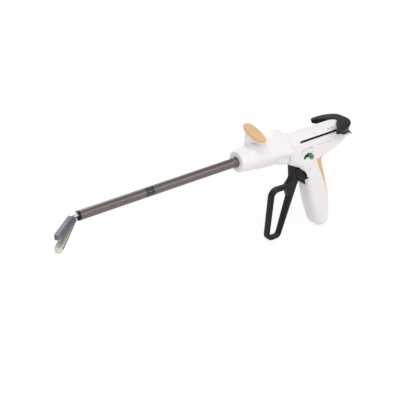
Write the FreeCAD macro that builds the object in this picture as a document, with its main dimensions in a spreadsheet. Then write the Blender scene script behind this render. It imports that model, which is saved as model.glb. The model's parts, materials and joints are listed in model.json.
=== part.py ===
"""Endoscopic linear stapler: a single-use cutter and stapler for keyhole surgery.

Frame: origin on the shaft axis at the front edge of the nose ferrule, where the bare
shaft starts. +X runs rearwards along the shaft, +Z is up, +Y is the instrument's right.
All lengths are millimetres and all angles are degrees. Rest pose: firing carriage
retracted, lever turned, tool bent to the left and cartridge jaw open.
"""
import FreeCAD
import Part
import math
import os
import Sketcher

V = FreeCAD.Vector

SIZES = {
    # Shaft
    "shaft_radius": 6.0,
    "shaft_bore_radius": 5.3,
    "shaft_seat_radius": 5.75,
    "shaft_length": 124.0,
    "shaft_seat_depth": 22.0,
    "ferrule_length": 6.0,
    "ferrule_radius": 7.0,
    "ferrule_lip": 0.25,
    # Loading unit
    "seam_gap": 0.2,
    "unit_length": 104.0,
    "unit_neck_length": 12.0,
    "unit_neck_wall": 0.45,
    "band_width": 11.2,
    "band_depth": 0.3,
    "boot_length": 3.6,
    "boot_radius": 6.0,
    "knuckle_reach": 7.6,
    "knuckle_plug": 9.0,
    "knuckle_flange": 1.0,
    "running_gap": 0.05,
    "free_gap": 0.3,
    # Articulation
    "tool_angle": 38.0,
    "lever_ratio": 0.5,
    "pivot_pin_radius": 1.2,
    "ear_radius": 5.6,
    "ear_gap": 3.0,
    "tongue_radius": 5.4,
    "tongue_top": 1.15,
    "tongue_bottom": 2.75,
    "link_offset": 3.85,
    "link_thickness": 1.1,
    "link_height": 3.4,
    "link_pin_radius": 0.7,
    # Jaws
    "jaw_radius": 5.95,
    "jaw_root": 6.3,
    "anvil_length": 59.0,
    "anvil_face": 0.6,
    "anvil_slope": 8.0,
    "cheek_inner": 3.6,
    "cheek_outer": 5.6,
    "cheek_depth": 3.2,
    "cheek_end": 14.0,
    "lug_inner": 2.0,
    "lug_outer": 3.4,
    "core_half_width": 1.8,
    "core_end": 12.0,
    "jaw_hinge_reach": 10.2,
    "jaw_hinge_drop": 1.5,
    "jaw_pin_radius": 0.9,
    "jaw_open_angle": 16.0,
    "channel_start": 15.0,
    "channel_end": 54.5,
    "channel_half_width": 5.4,
    "channel_wall": 0.9,
    "channel_rim": 1.7,
    "cartridge_face": 0.55,
    "nose_length": 5.0,
    "blade_slot_width": 1.2,
    "staple_pitch": 3.6,
    "staple_length": 2.6,
    "staple_width": 0.55,
    "staple_depth": 1.6,
    "staple_row_inner": 1.35,
    "staple_row_pitch": 1.1,
    "staple_count": 10,
    "blade_thickness": 0.7,
    "blade_length": 3.9,
    "blade_start": 11.3,
    "blade_height": 7.0,
    "blade_foot_width": 3.0,
    "blade_foot_height": 0.8,
    # Rotation collar
    "collar_front": 6.0,
    "collar_rear": 84.0,
    "collar_nose_radius": 14.0,
    "flute_radius": 21.1,
    "flute_wave": 2.1,
    "flute_count": 6,
    "flute_phase": 0.0,
    "collar_cavity_radius": 12.6,
    "collar_boss_end": 24.0,
    "collar_rim_start": 69.0,
    # Handle nose, on which the collar turns
    "spigot_radius": 11.0,
    "spigot_bore": 7.7,
    "spigot_lip": 1.2,
    "spigot_lip_width": 2.4,
    # Lever on the collar
    "lever_at": 36.0,
    "lever_boss_radius": 13.2,
    "lever_boss_top": 19.2,
    "lever_post_radius": 3.5,
    "lever_base_height": 2.2,
    "wing_half_length": 30.0,
    "wing_half_width": 9.0,
    "wing_height": 28.0,
    "wing_thickness": 2.2,
    "pad_half_length": 30.5,
    "pad_half_width": 8.2,
    "pad_thickness": 3.4,
    "crank_height": 6.4,
    "crank_thickness": 1.6,
    "crank_half_width": 2.0,
    "crank_pin_radius": 1.0,
    # Handle housing
    "barrel_front": 86.0,
    "barrel_rear": 190.0,
    "barrel_half_width": 14.0,
    "barrel_top": 11.8,
    "barrel_bottom": 10.0,
    "barrel_radius": 10.5,
    "barrel_low_radius": 4.0,
    "barrel_end_radius": 6.0,
    "grip_half_width": 13.4,
    "grip_radius": 7.6,
    "shell_wall": 2.2,
    "strap_thickness": 1.3,
    "slot_front": 101.5,
    "slot_rear": 176.0,
    "slot_centre": 4.0,
    "slot_height": 3.6,
    "trigger_slot_width": 12.4,
    "boss_radius": 2.6,
    "pivot_boss_radius": 4.5,
    "pivot_boss_face": 5.9,
    "screw_radius": 1.2,
    "screw_head_radius": 2.3,
    "screw_head_height": 1.6,
    # Trigger
    "trigger_pivot_x": 99.0,
    "trigger_pivot_z": -14.0,
    "trigger_pin_radius": 2.5,
    "trigger_width": 9.6,
    "horn_half_width": 8.0,
    "horn_gap": 0.6,
    "mouth_front": 102.4,
    "mouth_rear": 127.0,
    "mouth_z": -46.0,
    "mouth_radius": 11.5,
    "trigger_rounding": 1.9,
    "pawl_pivot_x": 107.0,
    "pawl_pivot_z": -13.0,
    "pawl_pin_radius": 1.0,
    "pawl_width": 3.0,
    "spring_wire_radius": 0.5,
    "spring_pitch": 1.15,
    "spring_turns": 3.5,
    "spring_gap": 0.3,
    # Firing carriage
    "rack_front": 98.0,
    "rack_half_width": 3.0,
    "rack_top": 6.2,
    "rack_bottom": 3.5,
    "tooth_pitch": 3.2,
    "tooth_depth": 1.2,
    "tooth_count": 15,
    "rod_radius": 1.8,
    "rod_front": 175.0,
    "crossbar_length": 8.0,
    "crossbar_height": 2.6,
    "saddle_gap": 0.45,
    "saddle_top": 13.8,
    "saddle_crown_radius": 115.0,
    "crossbar_rear": 175.0,
    # Selector
    "selector_x": 116.5,
    "selector_z": -23.8,
    "selector_arc": 6.2,
    "selector_slot": 6.0,
    "selector_pin_radius": 1.8,
    "selector_disc": 10.6,
    "selector_disc_thickness": 1.6,
    "selector_gap": 1.2,
    "selector_low": 20.0,
    "selector_high": 140.0,
    "selector_knob_span": 50.0,
    "selector_knob_gap": 0.3,
    "selector_knob_height": 1.6,
    "selector_peg_radius": 1.75,
}

doc = FreeCAD.newDocument("EndoscopicLinearStapler")
sheet = doc.addObject("Spreadsheet::Sheet", "dims")
for row, (alias, number) in enumerate(SIZES.items(), start=1):
    sheet.set(f"A{row}", alias)
    sheet.set(f"B{row}", str(number))
    sheet.setAlias(f"B{row}", alias)
doc.recompute()

NODES = []


# Helpers
def num(expression):
    """The number that an expression over the sheet gives now."""
    return float(sheet.evalExpression(str(expression)))


def keep(thing, label):
    """Mark a document object as one piece of the stapler."""
    thing.Label = label
    NODES.append(thing)
    return thing


def new_body(name):
    body = doc.addObject("PartDesign::Body", name)
    body.Label = name
    return body


def origin_feature(body, role):
    return [f for f in body.Origin.OriginFeatures if f.Role == role][0]


def new_sketch(body, name, role, offset=None):
    """A sketch on one of the body's own origin planes, moved along its normal."""
    sketch = body.newObject("Sketcher::SketchObject", name)
    sketch.AttachmentSupport = (origin_feature(body, role), [""])
    sketch.MapMode = "FlatFace"
    if offset is not None:
        sketch.setExpression("AttachmentOffset.Base.z", str(offset))
    return sketch


def draw_polygon(sketch, corners):
    """A closed chain of lines whose corners are bound to the sheet."""
    values = [(num(a), num(b)) for a, b in corners]
    first = sketch.GeometryCount
    count = len(values)
    for i, start in enumerate(values):
        end = values[(i + 1) % count]
        sketch.addGeometry(Part.LineSegment(V(start[0], start[1], 0), V(end[0], end[1], 0)), False)
    joints = [Sketcher.Constraint("Coincident", first + i, 2, first + (i + 1) % count, 1)
              for i in range(count)]
    sketch.addConstraint(joints)
    rules = []
    for i, (a, b) in enumerate(values):
        rules.append(Sketcher.Constraint("DistanceX", -1, 1, first + i, 1, a))
        rules.append(Sketcher.Constraint("DistanceY", -1, 1, first + i, 1, b))
    indices = sketch.addConstraint(rules)
    for i, (a, b) in enumerate(corners):
        sketch.setExpression(f"Constraints[{indices[2 * i]}]", str(a))
        sketch.setExpression(f"Constraints[{indices[2 * i + 1]}]", str(b))


def draw_circle(sketch, a, b, radius):
    place = sketch.addGeometry(Part.Circle(V(num(a), num(b), 0), V(0, 0, 1), num(radius)), False)
    rules = [Sketcher.Constraint("DistanceX", -1, 1, place, 3, num(a)),
             Sketcher.Constraint("DistanceY", -1, 1, place, 3, num(b)),
             Sketcher.Constraint("Radius", place, num(radius))]
    indices = sketch.addConstraint(rules)
    for index, value in zip(indices, (a, b, radius)):
        sketch.setExpression(f"Constraints[{index}]", str(value))


def pad(body, sketch, length, midplane=False, reverse=False):
    feature = body.newObject("PartDesign::Pad", f"{body.Name}_pad")
    feature.Profile = sketch
    feature.setExpression("Length", str(length))
    feature.Midplane = midplane
    feature.Reversed = reverse
    doc.recompute()
    return feature


def pocket(body, sketch, length, midplane=False, reverse=False):
    before = body.Shape.Volume
    feature = body.newObject("PartDesign::Pocket", f"{body.Name}_pocket")
    feature.Profile = sketch
    feature.setExpression("Length", str(length))
    feature.Midplane = midplane
    feature.Reversed = reverse
    doc.recompute()
    if body.Shape.Volume > before - 1e-6:
        raise RuntimeError(f"{body.Label}: {sketch.Name} cuts nothing")
    return feature


def revolve(body, sketch, axis="H_Axis"):
    feature = body.newObject("PartDesign::Revolution", f"{body.Name}_turn")
    feature.Profile = sketch
    feature.ReferenceAxis = (sketch, [axis])
    feature.Angle = 360.0
    doc.recompute()
    return feature


def linear_pattern(body, feature, role, length, count):
    pattern = body.newObject("PartDesign::LinearPattern", f"{body.Name}_row")
    pattern.Originals = [feature]
    pattern.Direction = (origin_feature(body, role), [""])
    pattern.Reversed = num(length) < 0
    pattern.setExpression("Length", f"abs({length})")
    pattern.setExpression("Occurrences", str(count))
    body.Tip = pattern
    doc.recompute()
    return pattern


def edges_where(shape, test):
    return [f"Edge{i}" for i, edge in enumerate(shape.Edges, start=1) if test(edge)]


def in_plane(edge, axis, value):
    """Whether an edge lies wholly in the plane where the axis has the value."""
    box = edge.BoundBox
    low, high = ((box.XMin, box.XMax), (box.YMin, box.YMax), (box.ZMin, box.ZMax))[axis]
    return abs(low - value) < 1e-4 and abs(high - value) < 1e-4


def runs_along(edge, axis, point):
    """Whether a straight edge is parallel to the axis through a point of the other two."""
    if len(edge.Vertexes) < 2:
        return False
    a, b = edge.Vertexes[0].Point, edge.Vertexes[1].Point
    if abs(edge.Length - a.distanceToPoint(b)) > 1e-6:
        return False
    others = [i for i in range(3) if i != axis]
    if any(abs(a[i] - b[i]) > 1e-4 for i in others):
        return False
    return all(abs(a[i] - point[k]) < 1e-3 for k, i in enumerate(others))


def fillet(body, names, radius, kind="PartDesign::Fillet"):
    """Round (or bevel) named edges of the body's present shape."""
    feature = body.newObject(kind, f"{body.Name}_edge")
    feature.Base = (body.Tip if feature.BaseFeature is None else feature.BaseFeature, names)
    feature.setExpression("Radius" if kind.endswith("Fillet") else "Size", str(radius))
    doc.recompute()
    return feature


def box(name, x, y, z):
    """A Part::Box from three pairs of bounds, each an expression."""
    thing = doc.addObject("Part::Box", name)
    for size, low, pair in (("Length", "x", x), ("Width", "y", y), ("Height", "z", z)):
        thing.setExpression(size, f"({pair[1]}) - ({pair[0]})")
        thing.setExpression(f"Placement.Base.{low}", str(pair[0]))
    return thing


AXIS_TURN = {"x": FreeCAD.Rotation(V(0, 1, 0), 90), "y": FreeCAD.Rotation(V(1, 0, 0), -90),
             "z": FreeCAD.Rotation()}


def cylinder(name, axis, at, span, radius):
    """A Part::Cylinder along an axis: the other two coordinates, the span and the radius."""
    thing = doc.addObject("Part::Cylinder", name)
    thing.Placement = FreeCAD.Placement(V(), AXIS_TURN[axis])
    thing.setExpression("Radius", str(radius))
    thing.setExpression("Height", f"({span[1]}) - ({span[0]})")
    rest = [a for a in "xyz" if a != axis]
    for place, value in ((axis, span[0]), (rest[0], at[0]), (rest[1], at[1])):
        thing.setExpression(f"Placement.Base.{place}", str(value))
    return thing


def fuse(name, *things):
    union = doc.addObject("Part::MultiFuse", name)
    union.Shapes = list(things)
    union.Refine = True
    doc.recompute()
    return union


def cut(name, base, *tools):
    result = doc.addObject("Part::Cut", name)
    result.Base = base
    result.Tool = tools[0] if len(tools) == 1 else fuse(f"{name}_tools", *tools)
    result.Refine = True
    doc.recompute()
    return result


def common(name, first, second):
    result = doc.addObject("Part::Common", name)
    result.Base = first
    result.Tool = second
    result.Refine = True
    doc.recompute()
    return result


def rounded_form(name, corners, half_width, edge_radius, inset="0", role="XZ_Plane"):
    """A pillow-edged slab from a side outline: corners are (x, z, corner radius or None).

    The inset draws the whole form that much smaller, for the hollow inside a wall.
    """
    spots = [(num(a), num(b)) for a, b, _ in corners]
    count = len(spots)
    area = sum(spots[i][0] * spots[(i + 1) % count][1] - spots[(i + 1) % count][0] * spots[i][1]
               for i in range(count))
    side = 1.0 if area > 0 else -1.0
    moved, turns = [], []
    for i, here in enumerate(spots):
        back, ahead = spots[i - 1], spots[(i + 1) % count]
        u = unit(here[0] - back[0], here[1] - back[1])
        w = unit(ahead[0] - here[0], ahead[1] - here[1])
        n1, n2 = (-u[1] * side, u[0] * side), (-w[1] * side, w[0] * side)
        scale = 1.0 + n1[0] * n2[0] + n1[1] * n2[1]
        moved.append(((n1[0] + n2[0]) / scale, (n1[1] + n2[1]) / scale))
        turns.append((u[0] * w[1] - u[1] * w[0]) * side)
    body = new_body(name)
    sketch = new_sketch(body, f"{name}_outline", role)
    outline = [(f"{a} + ({dx:.6f}) * ({inset})", f"{b} + ({dz:.6f}) * ({inset})")
               for (a, b, _), (dx, dz) in zip(corners, moved)]
    draw_polygon(sketch, outline)
    pad(body, sketch, f"2 * ({half_width} - ({inset}))", midplane=True)
    for (a, b), (_, _, radius), turn in zip(outline, corners, turns):
        if radius is None:
            continue
        spot = (num(a), num(b))
        names = edges_where(body.Shape, lambda e: runs_along(e, 1, spot))
        sign = "-" if turn > 0 else "+"
        fillet(body, names, f"{radius} {sign} ({inset})")
    reach = num(f"{half_width} - ({inset})")
    bounds = body.Shape.BoundBox

    def on_rim(edge):
        ends = (in_plane(edge, 0, bounds.XMin), in_plane(edge, 0, bounds.XMax), in_plane(edge, 2, bounds.ZMax))
        return (in_plane(edge, 1, reach) or in_plane(edge, 1, -reach)) and not any(ends)

    fillet(body, edges_where(body.Shape, on_rim), f"{edge_radius} - ({inset})")
    return body


def unit(a, b):
    length = math.hypot(a, b)
    return a / length, b / length


# Shaft
def turned(name, profile):
    """A body turned about the shaft axis from an (x, radius) outline."""
    body = new_body(name)
    sketch = new_sketch(body, f"{name}_profile", "XZ_Plane")
    draw_polygon(sketch, profile)
    revolve(body, sketch)
    return body


def make_shaft_tube():
    """Long outer tube: full size in front, a stepped seat inside the ferrule and the collar."""
    body = turned("shaft_tube", [
        ("-dims.shaft_length", "dims.shaft_bore_radius"),
        ("-dims.shaft_length", "dims.shaft_radius"),
        ("0", "dims.shaft_radius"),
        ("0", "dims.shaft_seat_radius"),
        ("dims.shaft_seat_depth", "dims.shaft_seat_radius"),
        ("dims.shaft_seat_depth", "dims.shaft_bore_radius")])
    keep(body, "shaft_tube")


def make_nose_ferrule():
    """Domed ring that closes the collar's nose round the shaft."""
    body = turned("nose_ferrule", [
        ("0", "dims.shaft_seat_radius"),
        ("0", "dims.shaft_radius + dims.ferrule_lip"),
        ("dims.ferrule_length * 0.25", "dims.ferrule_radius - 0.3"),
        ("dims.ferrule_length * 0.6", "dims.ferrule_radius"),
        ("dims.ferrule_length", "dims.ferrule_radius"),
        ("dims.ferrule_length", "dims.shaft_seat_radius")])
    keep(body, "nose_ferrule")


# Loading unit
UNIT_REAR = "-(dims.shaft_length + dims.seam_gap)"
UNIT_FRONT = f"{UNIT_REAR} - dims.unit_length"
BOOT_FRONT = f"{UNIT_FRONT} - dims.boot_length"
PIVOT_X = f"{BOOT_FRONT} - dims.knuckle_flange - dims.knuckle_reach + dims.ear_radius - 1.2"


def make_unit_tube():
    """Tube of the loading unit, with a thin neck that plugs into the shaft."""
    neck = "dims.shaft_bore_radius - dims.running_gap"
    body = turned("loading_unit_tube", [
        (f"{UNIT_REAR} + dims.unit_neck_length", f"{neck} - dims.unit_neck_wall"),
        (f"{UNIT_REAR} + dims.unit_neck_length", neck),
        (UNIT_REAR, neck),
        (UNIT_REAR, "dims.shaft_radius - dims.band_depth"),
        (f"{UNIT_REAR} - dims.band_width", "dims.shaft_radius - dims.band_depth"),
        (f"{UNIT_REAR} - dims.band_width", "dims.shaft_radius"),
        (UNIT_FRONT, "dims.shaft_radius"),
        (UNIT_FRONT, f"{neck} - dims.unit_neck_wall")])
    keep(body, "loading_unit_tube")


def make_band():
    """Dark marked sleeve in its recess at the rear end of the loading unit."""
    body = turned("alignment_band", [
        (UNIT_REAR, "dims.shaft_radius - dims.band_depth"),
        (UNIT_REAR, "dims.shaft_radius"),
        (f"{UNIT_REAR} - dims.band_width", "dims.shaft_radius"),
        (f"{UNIT_REAR} - dims.band_width", "dims.shaft_radius - dims.band_depth")])
    keep(body, "alignment_band")


def make_boot_ring():
    """Black ring that closes the loading unit in front of its tube."""
    inner = "dims.shaft_bore_radius - dims.running_gap - dims.unit_neck_wall"
    body = turned("boot_ring", [
        (UNIT_FRONT, inner),
        (UNIT_FRONT, "dims.boot_radius"),
        (f"{UNIT_FRONT} - dims.boot_length * 0.8", "dims.boot_radius"),
        (BOOT_FRONT, "dims.boot_radius - 0.6"),
        (BOOT_FRONT, inner)])
    keep(body, "boot_ring")


LINK_LOW = "dims.link_offset - dims.link_thickness / 2"
LINK_HIGH = "dims.link_offset + dims.link_thickness / 2"


def make_mounting_knuckle():
    """Clevis of the articulation joint: a plug in the tube, a flange and two round ears."""
    plug = "dims.shaft_bore_radius - dims.running_gap - dims.unit_neck_wall"
    flange = f"{BOOT_FRONT} - dims.knuckle_flange"
    stem = cylinder("knuckle_stem", "x", ("0", "0"), (flange, f"{BOOT_FRONT} + dims.knuckle_plug"), plug)
    rim = cylinder("knuckle_rim", "x", ("0", "0"), (flange, BOOT_FRONT), "dims.ear_radius")
    disc = cylinder("knuckle_disc", "z", (PIVOT_X, "0"), (f"-({plug})", plug), "dims.ear_radius")
    cheeks = box("knuckle_cheeks", (PIVOT_X, f"{flange} + 0.01"), ("-dims.ear_radius", "dims.ear_radius"),
                 (f"-({plug})", plug))
    ears = common("knuckle_ears", fuse("knuckle_solid", disc, cheeks),
                  cylinder("knuckle_round", "x", ("0", "0"), (f"{PIVOT_X} - 9", BOOT_FRONT), "dims.ear_radius"))
    gap = box("knuckle_gap", (f"{PIVOT_X} - 9", f"{PIVOT_X} + dims.tongue_radius + dims.free_gap"),
              ("-9", "9"), ("-dims.ear_gap", "dims.ear_gap"))
    groove = box("knuckle_link_way", (f"{PIVOT_X} - 9", f"{BOOT_FRONT} + dims.knuckle_plug + 1"),
                 ("-9", f"-({LINK_LOW}) + dims.free_gap"),
                 ("-(dims.link_height / 2 + dims.free_gap)", "dims.link_height / 2 + dims.free_gap + 1"))
    bore = cylinder("knuckle_bore", "x", ("0", "0"),
                    (f"{PIVOT_X}", f"{BOOT_FRONT} + dims.knuckle_plug + 1"), "dims.rod_radius - 0.6")
    pin = cylinder("knuckle_pin_hole", "z", (PIVOT_X, "0"), ("-9", "9"), "dims.pivot_pin_radius")
    keep(cut("mounting_knuckle", fuse("knuckle_body", stem, rim, ears), gap, groove, bore, pin),
         "mounting_knuckle")
    keep(cylinder("articulation_pin", "z", (PIVOT_X, "0"), (f"-({plug}) + 0.3", f"{plug} - 0.3"),
                  "dims.pivot_pin_radius"), "articulation_pin")


def make_links():
    """Two flat links in a row: one in the shaft, driven by the lever, and one in the unit."""
    shift = "sin(dims.tool_angle) * dims.link_offset"
    side = (f"-({LINK_HIGH})", f"-({LINK_LOW})")
    tall = ("-dims.link_height / 2", "dims.link_height / 2")
    meet = f"{UNIT_REAR} - 2"
    lever_x = f"dims.lever_at + {shift}"
    strip = box("shaft_link_strip", (meet, f"{lever_x} + 4"), side, tall)
    riser = box("shaft_link_riser", (f"{lever_x} - 4", f"{lever_x} + 4"), side,
                ("0", "dims.crank_height - 0.9"))
    reach = "dims.link_offset / (2 * sin(dims.lever_ratio * 45)) * sqrt(2)"
    bridge = box("shaft_link_bridge", (f"{lever_x} - 4", f"{lever_x} + 4"),
                 (f"-({LINK_HIGH})", f"{reach} + 2.2"),
                 ("dims.crank_height - 2.4", "dims.crank_height - 0.9"))
    slot = box("shaft_link_slot", (f"{lever_x} - dims.crank_pin_radius - 0.25",
                                   f"{lever_x} + dims.crank_pin_radius + 0.25"),
               (f"{reach} * 0.85 - dims.crank_pin_radius - 0.3", f"{reach} + 1.3"),
               ("0", "dims.crank_height"))
    keep(cut("articulation_link", fuse("shaft_link_body", strip, riser, bridge), slot),
         "articulation_link")
    eye_x = f"{PIVOT_X} + {shift}"
    front = f"{PIVOT_X} + dims.tongue_radius + dims.link_offset + 0.5"
    unit_strip = box("unit_link_strip", (front, f"{meet} - dims.running_gap"), side, tall)
    height = ("dims.tongue_top + 0.25", "dims.ear_gap - 0.4")
    arm = box("unit_link_arm", (f"{eye_x} - 2", f"{front} + 1"), side, height)
    plate = box("unit_link_plate", (f"{eye_x} - 2", f"{eye_x} + 2"),
                (f"-({LINK_HIGH})", "-(dims.pivot_pin_radius + 0.2)"), height)
    eye = box("unit_link_eye", (f"{eye_x} - dims.link_pin_radius - 0.2", f"{eye_x} + dims.link_pin_radius + 0.2"),
              (f"-({LINK_HIGH}) - 1", "-(dims.link_offset * cos(45) - dims.link_pin_radius - 0.25)"),
              ("0", "dims.ear_gap"))
    bar = cylinder("unit_link_bar", "x", ("0", "0"), (f"{PIVOT_X} - 9", UNIT_REAR),
                   "dims.shaft_bore_radius - dims.running_gap - dims.unit_neck_wall - 0.1")
    whole = common("unit_link_trimmed", fuse("unit_link_body", unit_strip, arm, plate), bar)
    keep(cut("unit_link", whole, eye), "unit_link")


# Tool: everything beyond the articulation pivot, drawn straight and closed round that
# pivot with the jaws along -x, then bent and opened as a whole
def bent():
    """Placement that bends the tool at the articulation pivot."""
    turn = FreeCAD.Rotation(V(0, 0, 1), num("dims.tool_angle"))
    return FreeCAD.Placement(V(num(PIVOT_X), 0, 0), turn)


def opened():
    """Placement of the lower jaw: swung down at its hinge, then bent with the tool."""
    hinge = V(-num("dims.jaw_hinge_reach"), 0, -num("dims.jaw_hinge_drop"))
    swing = FreeCAD.Rotation(V(0, 1, 0), -num("dims.jaw_open_angle"))
    return bent().multiply(FreeCAD.Placement(V(), swing, hinge))


def keep_placed(thing, label, placement):
    """Keep a piece that was drawn round the tool's pivot, set in its place."""
    thing.Placement = placement
    doc.recompute()
    keep(thing, label)


def jaw_bar(name, start, end):
    """Round bar that every jaw section is trimmed to, so the closed tool fits a sleeve."""
    return cylinder(name, "x", ("0", "0"), (f"-({end})", f"-({start})"), "dims.jaw_radius")


def make_tool_knuckle():
    """Tongue of the articulation joint with the root plate and core that carry the jaws."""
    tongue = cylinder("tool_tongue", "z", ("0", "0"), ("-dims.tongue_bottom", "dims.tongue_top"),
                      "dims.tongue_radius")
    neck = box("tool_neck", ("-dims.jaw_root - 0.5", "0"), ("-3.2", "3.2"),
               ("-dims.tongue_bottom", "dims.tongue_top"))
    root = jaw_bar("tool_root", "dims.jaw_root", "dims.jaw_root + 1.7")
    core = box("tool_core", ("-dims.core_end", "-dims.jaw_root - 1"),
               ("-dims.core_half_width", "dims.core_half_width"), ("-3.6", "2.4"))
    pin = cylinder("tool_link_pin", "z", ("0", "-dims.link_offset"),
                   ("dims.tongue_top - 0.2", "dims.ear_gap - 0.35"), "dims.link_pin_radius")
    hole = cylinder("tool_pivot_hole", "z", ("0", "0"), ("-9", "9"),
                    "dims.pivot_pin_radius + dims.running_gap")
    hinge = cylinder("tool_hinge_hole", "y", ("-dims.jaw_hinge_reach", "-dims.jaw_hinge_drop"),
                     ("-9", "9"), "dims.jaw_pin_radius")
    way = box("tool_blade_way", ("-dims.core_end - 1", "-dims.jaw_root - 2.2"),
              ("-dims.blade_slot_width / 2", "dims.blade_slot_width / 2"), ("-9", "9"))
    keep_placed(cut("tool_knuckle", fuse("tool_knuckle_body", tongue, neck, root, core, pin),
                    hole, hinge, way), "tool_knuckle", bent())
    rod = cylinder("jaw_hinge_rod", "y", ("-dims.jaw_hinge_reach", "-dims.jaw_hinge_drop"),
                   ("-9", "9"), "dims.jaw_pin_radius")
    keep_placed(common("jaw_hinge_pin", rod, jaw_bar("jaw_hinge_trim", "dims.jaw_root", "dims.cheek_end")),
                "jaw_hinge_pin", bent())


def make_anvil():
    """Fixed upper jaw: a crowned beam with a sloping nose, two cheeks and the blade's T-slot."""
    body = new_body("anvil_beam")
    sketch = new_sketch(body, "anvil_side", "XZ_Plane")
    start, tip = "-(dims.jaw_root + 1.7)", "-dims.anvil_length"
    draw_polygon(sketch, [
        (start, "dims.anvil_face"), (start, "dims.jaw_radius"),
        (f"{tip} + dims.anvil_slope", "dims.jaw_radius"),
        (f"{tip} + dims.anvil_slope * 0.35", "dims.jaw_radius * 0.82"),
        (f"{tip} + 0.6", "dims.anvil_face + 2.3"),
        (tip, "dims.anvil_face + 1.1"), (tip, "dims.anvil_face")])
    pad(body, sketch, "dims.jaw_radius * 2", midplane=True)
    round_bar = jaw_bar("anvil_round", "dims.jaw_root", "dims.anvil_length + 1")
    beam = common("anvil_crowned", body, round_bar)
    corner_left = corner_wedge("anvil_corner_left", "-dims.anvil_length", "1", "1.2", "12")
    corner_right = corner_wedge("anvil_corner_right", "-dims.anvil_length", "-1", "1.2", "12")
    cheeks = []
    for side, low, high in (("left", "-dims.cheek_outer", "-dims.cheek_inner"),
                            ("right", "dims.cheek_inner", "dims.cheek_outer")):
        cheek = box(f"anvil_cheek_{side}", ("-dims.cheek_end", start), (low, high),
                    ("-dims.cheek_depth", "dims.anvil_face + 0.5"))
        cheeks.append(common(f"anvil_cheek_{side}_round", cheek,
                             jaw_bar(f"anvil_cheek_bar_{side}", "dims.jaw_root", "dims.cheek_end + 1")))
    core_room = box("anvil_core_room", ("-dims.core_end - 0.3", "-dims.jaw_root"),
                    ("-dims.cheek_inner", "dims.cheek_inner"), ("-9", "2.4"))
    hinge = cylinder("anvil_hinge_hole", "y", ("-dims.jaw_hinge_reach", "-dims.jaw_hinge_drop"),
                     ("-9", "9"), "dims.jaw_pin_radius")
    far = "-dims.anvil_length + 1.6"
    slot = box("anvil_blade_slot", (far, "-dims.core_end + 2"),
               ("-dims.blade_slot_width / 2", "dims.blade_slot_width / 2"), ("0", "4.2"))
    tee = box("anvil_tee_slot", (far, "-dims.core_end + 2"),
              ("-(dims.blade_foot_width / 2 + 0.3)", "dims.blade_foot_width / 2 + 0.3"),
              ("3.0", "3.0 + dims.blade_foot_height + 0.6"))
    solid = fuse("anvil_body", beam, *cheeks)
    shaped = cut("anvil_shape", solid, core_room, hinge, slot, tee, corner_left, corner_right)
    dents = staple_row("anvil_dents", "dims.anvil_face - 0.2", "0.55")
    keep_placed(cut("anvil", shaped, dents), "anvil", bent())


def corner_wedge(name, tip, side, blunt, run):
    """Cutter that narrows one front corner of a jaw in plan over the run, to a blunt end."""
    body = new_body(name)
    sketch = new_sketch(body, f"{name}_plan", "XY_Plane", "-9")
    draw_polygon(sketch, [(f"{tip} - 1", f"{side} * {blunt}"), (tip, f"{side} * {blunt}"),
                          (f"{tip} + {run} * 0.35", f"{side} * ({blunt} + dims.jaw_radius) / 2"),
                          (f"{tip} + {run}", f"{side} * (dims.jaw_radius + 0.1)"),
                          (f"{tip} + {run}", f"{side} * 7"), (f"{tip} - 1", f"{side} * 7")])
    pad(body, sketch, "18")
    return body


def staple_row(name, base, depth):
    """Six staggered rows of staple pockets, as one cutter that stands on the base height."""
    pockets = []
    pitch, count = num("dims.staple_pitch"), int(num("dims.staple_count"))
    first = -num("dims.channel_start") - 2.2
    long, wide = num("dims.staple_length"), num("dims.staple_width")
    low, tall = num(base), num(depth) + num("0.2")
    for row in range(3):
        offset = num("dims.staple_row_inner") + row * num("dims.staple_row_pitch")
        for side in (-1, 1):
            for i in range(count):
                x = first - i * pitch - (0.5 * pitch if row == 1 else 0.0)
                corner = V(x - long, side * offset - wide / 2, low)
                pockets.append(Part.makeBox(long, wide, tall, corner))
    cutter = doc.addObject("Part::Feature", name)
    cutter.Shape = Part.makeCompound(pockets)
    return cutter


def make_channel():
    """Metal channel of the lower jaw, with two hinge lugs between the anvil's cheeks."""
    rim = "-dims.channel_rim"
    block = box("channel_block", ("-dims.channel_end", "-dims.channel_start"),
                ("-dims.channel_half_width", "dims.channel_half_width"), ("-dims.jaw_radius", rim))
    trimmed = common("channel_round", block, jaw_bar("channel_bar", "dims.channel_start - 1",
                                                     "dims.channel_end + 1"))
    trough = box("channel_trough", ("-dims.channel_end - 1", "-dims.channel_start - 1.3"),
                 ("-(dims.channel_half_width - dims.channel_wall)",
                  "dims.channel_half_width - dims.channel_wall"),
                 ("-dims.jaw_radius + dims.channel_wall", "1"))
    way = box("channel_blade_way", ("-dims.channel_start - 2", "-dims.channel_start + 1"),
              ("-dims.blade_slot_width / 2", "dims.blade_slot_width / 2"), ("-4.4", "1"))
    lugs = []
    for side, low, high in (("left", "-dims.lug_outer", "-dims.lug_inner"),
                            ("right", "dims.lug_inner", "dims.lug_outer")):
        arm = box(f"channel_arm_{side}", ("-dims.channel_start - 0.2", "-dims.jaw_hinge_reach"),
                  (low, high), ("-dims.jaw_hinge_drop - 1.9", "-dims.jaw_hinge_drop + 0.9"))
        eye = cylinder(f"channel_eye_{side}", "y", ("-dims.jaw_hinge_reach", "-dims.jaw_hinge_drop"),
                       (low, high), "dims.jaw_pin_radius + 1.0")
        lugs += [arm, eye]
    hole = cylinder("channel_hinge_hole", "y", ("-dims.jaw_hinge_reach", "-dims.jaw_hinge_drop"),
                    ("-9", "9"), "dims.jaw_pin_radius + dims.running_gap")
    trough_cut = cut("channel_trimmed", trimmed, trough)
    keep_placed(cut("cartridge_channel", fuse("channel_body", trough_cut, *lugs), hole, way),
                "cartridge_channel", opened())


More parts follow.
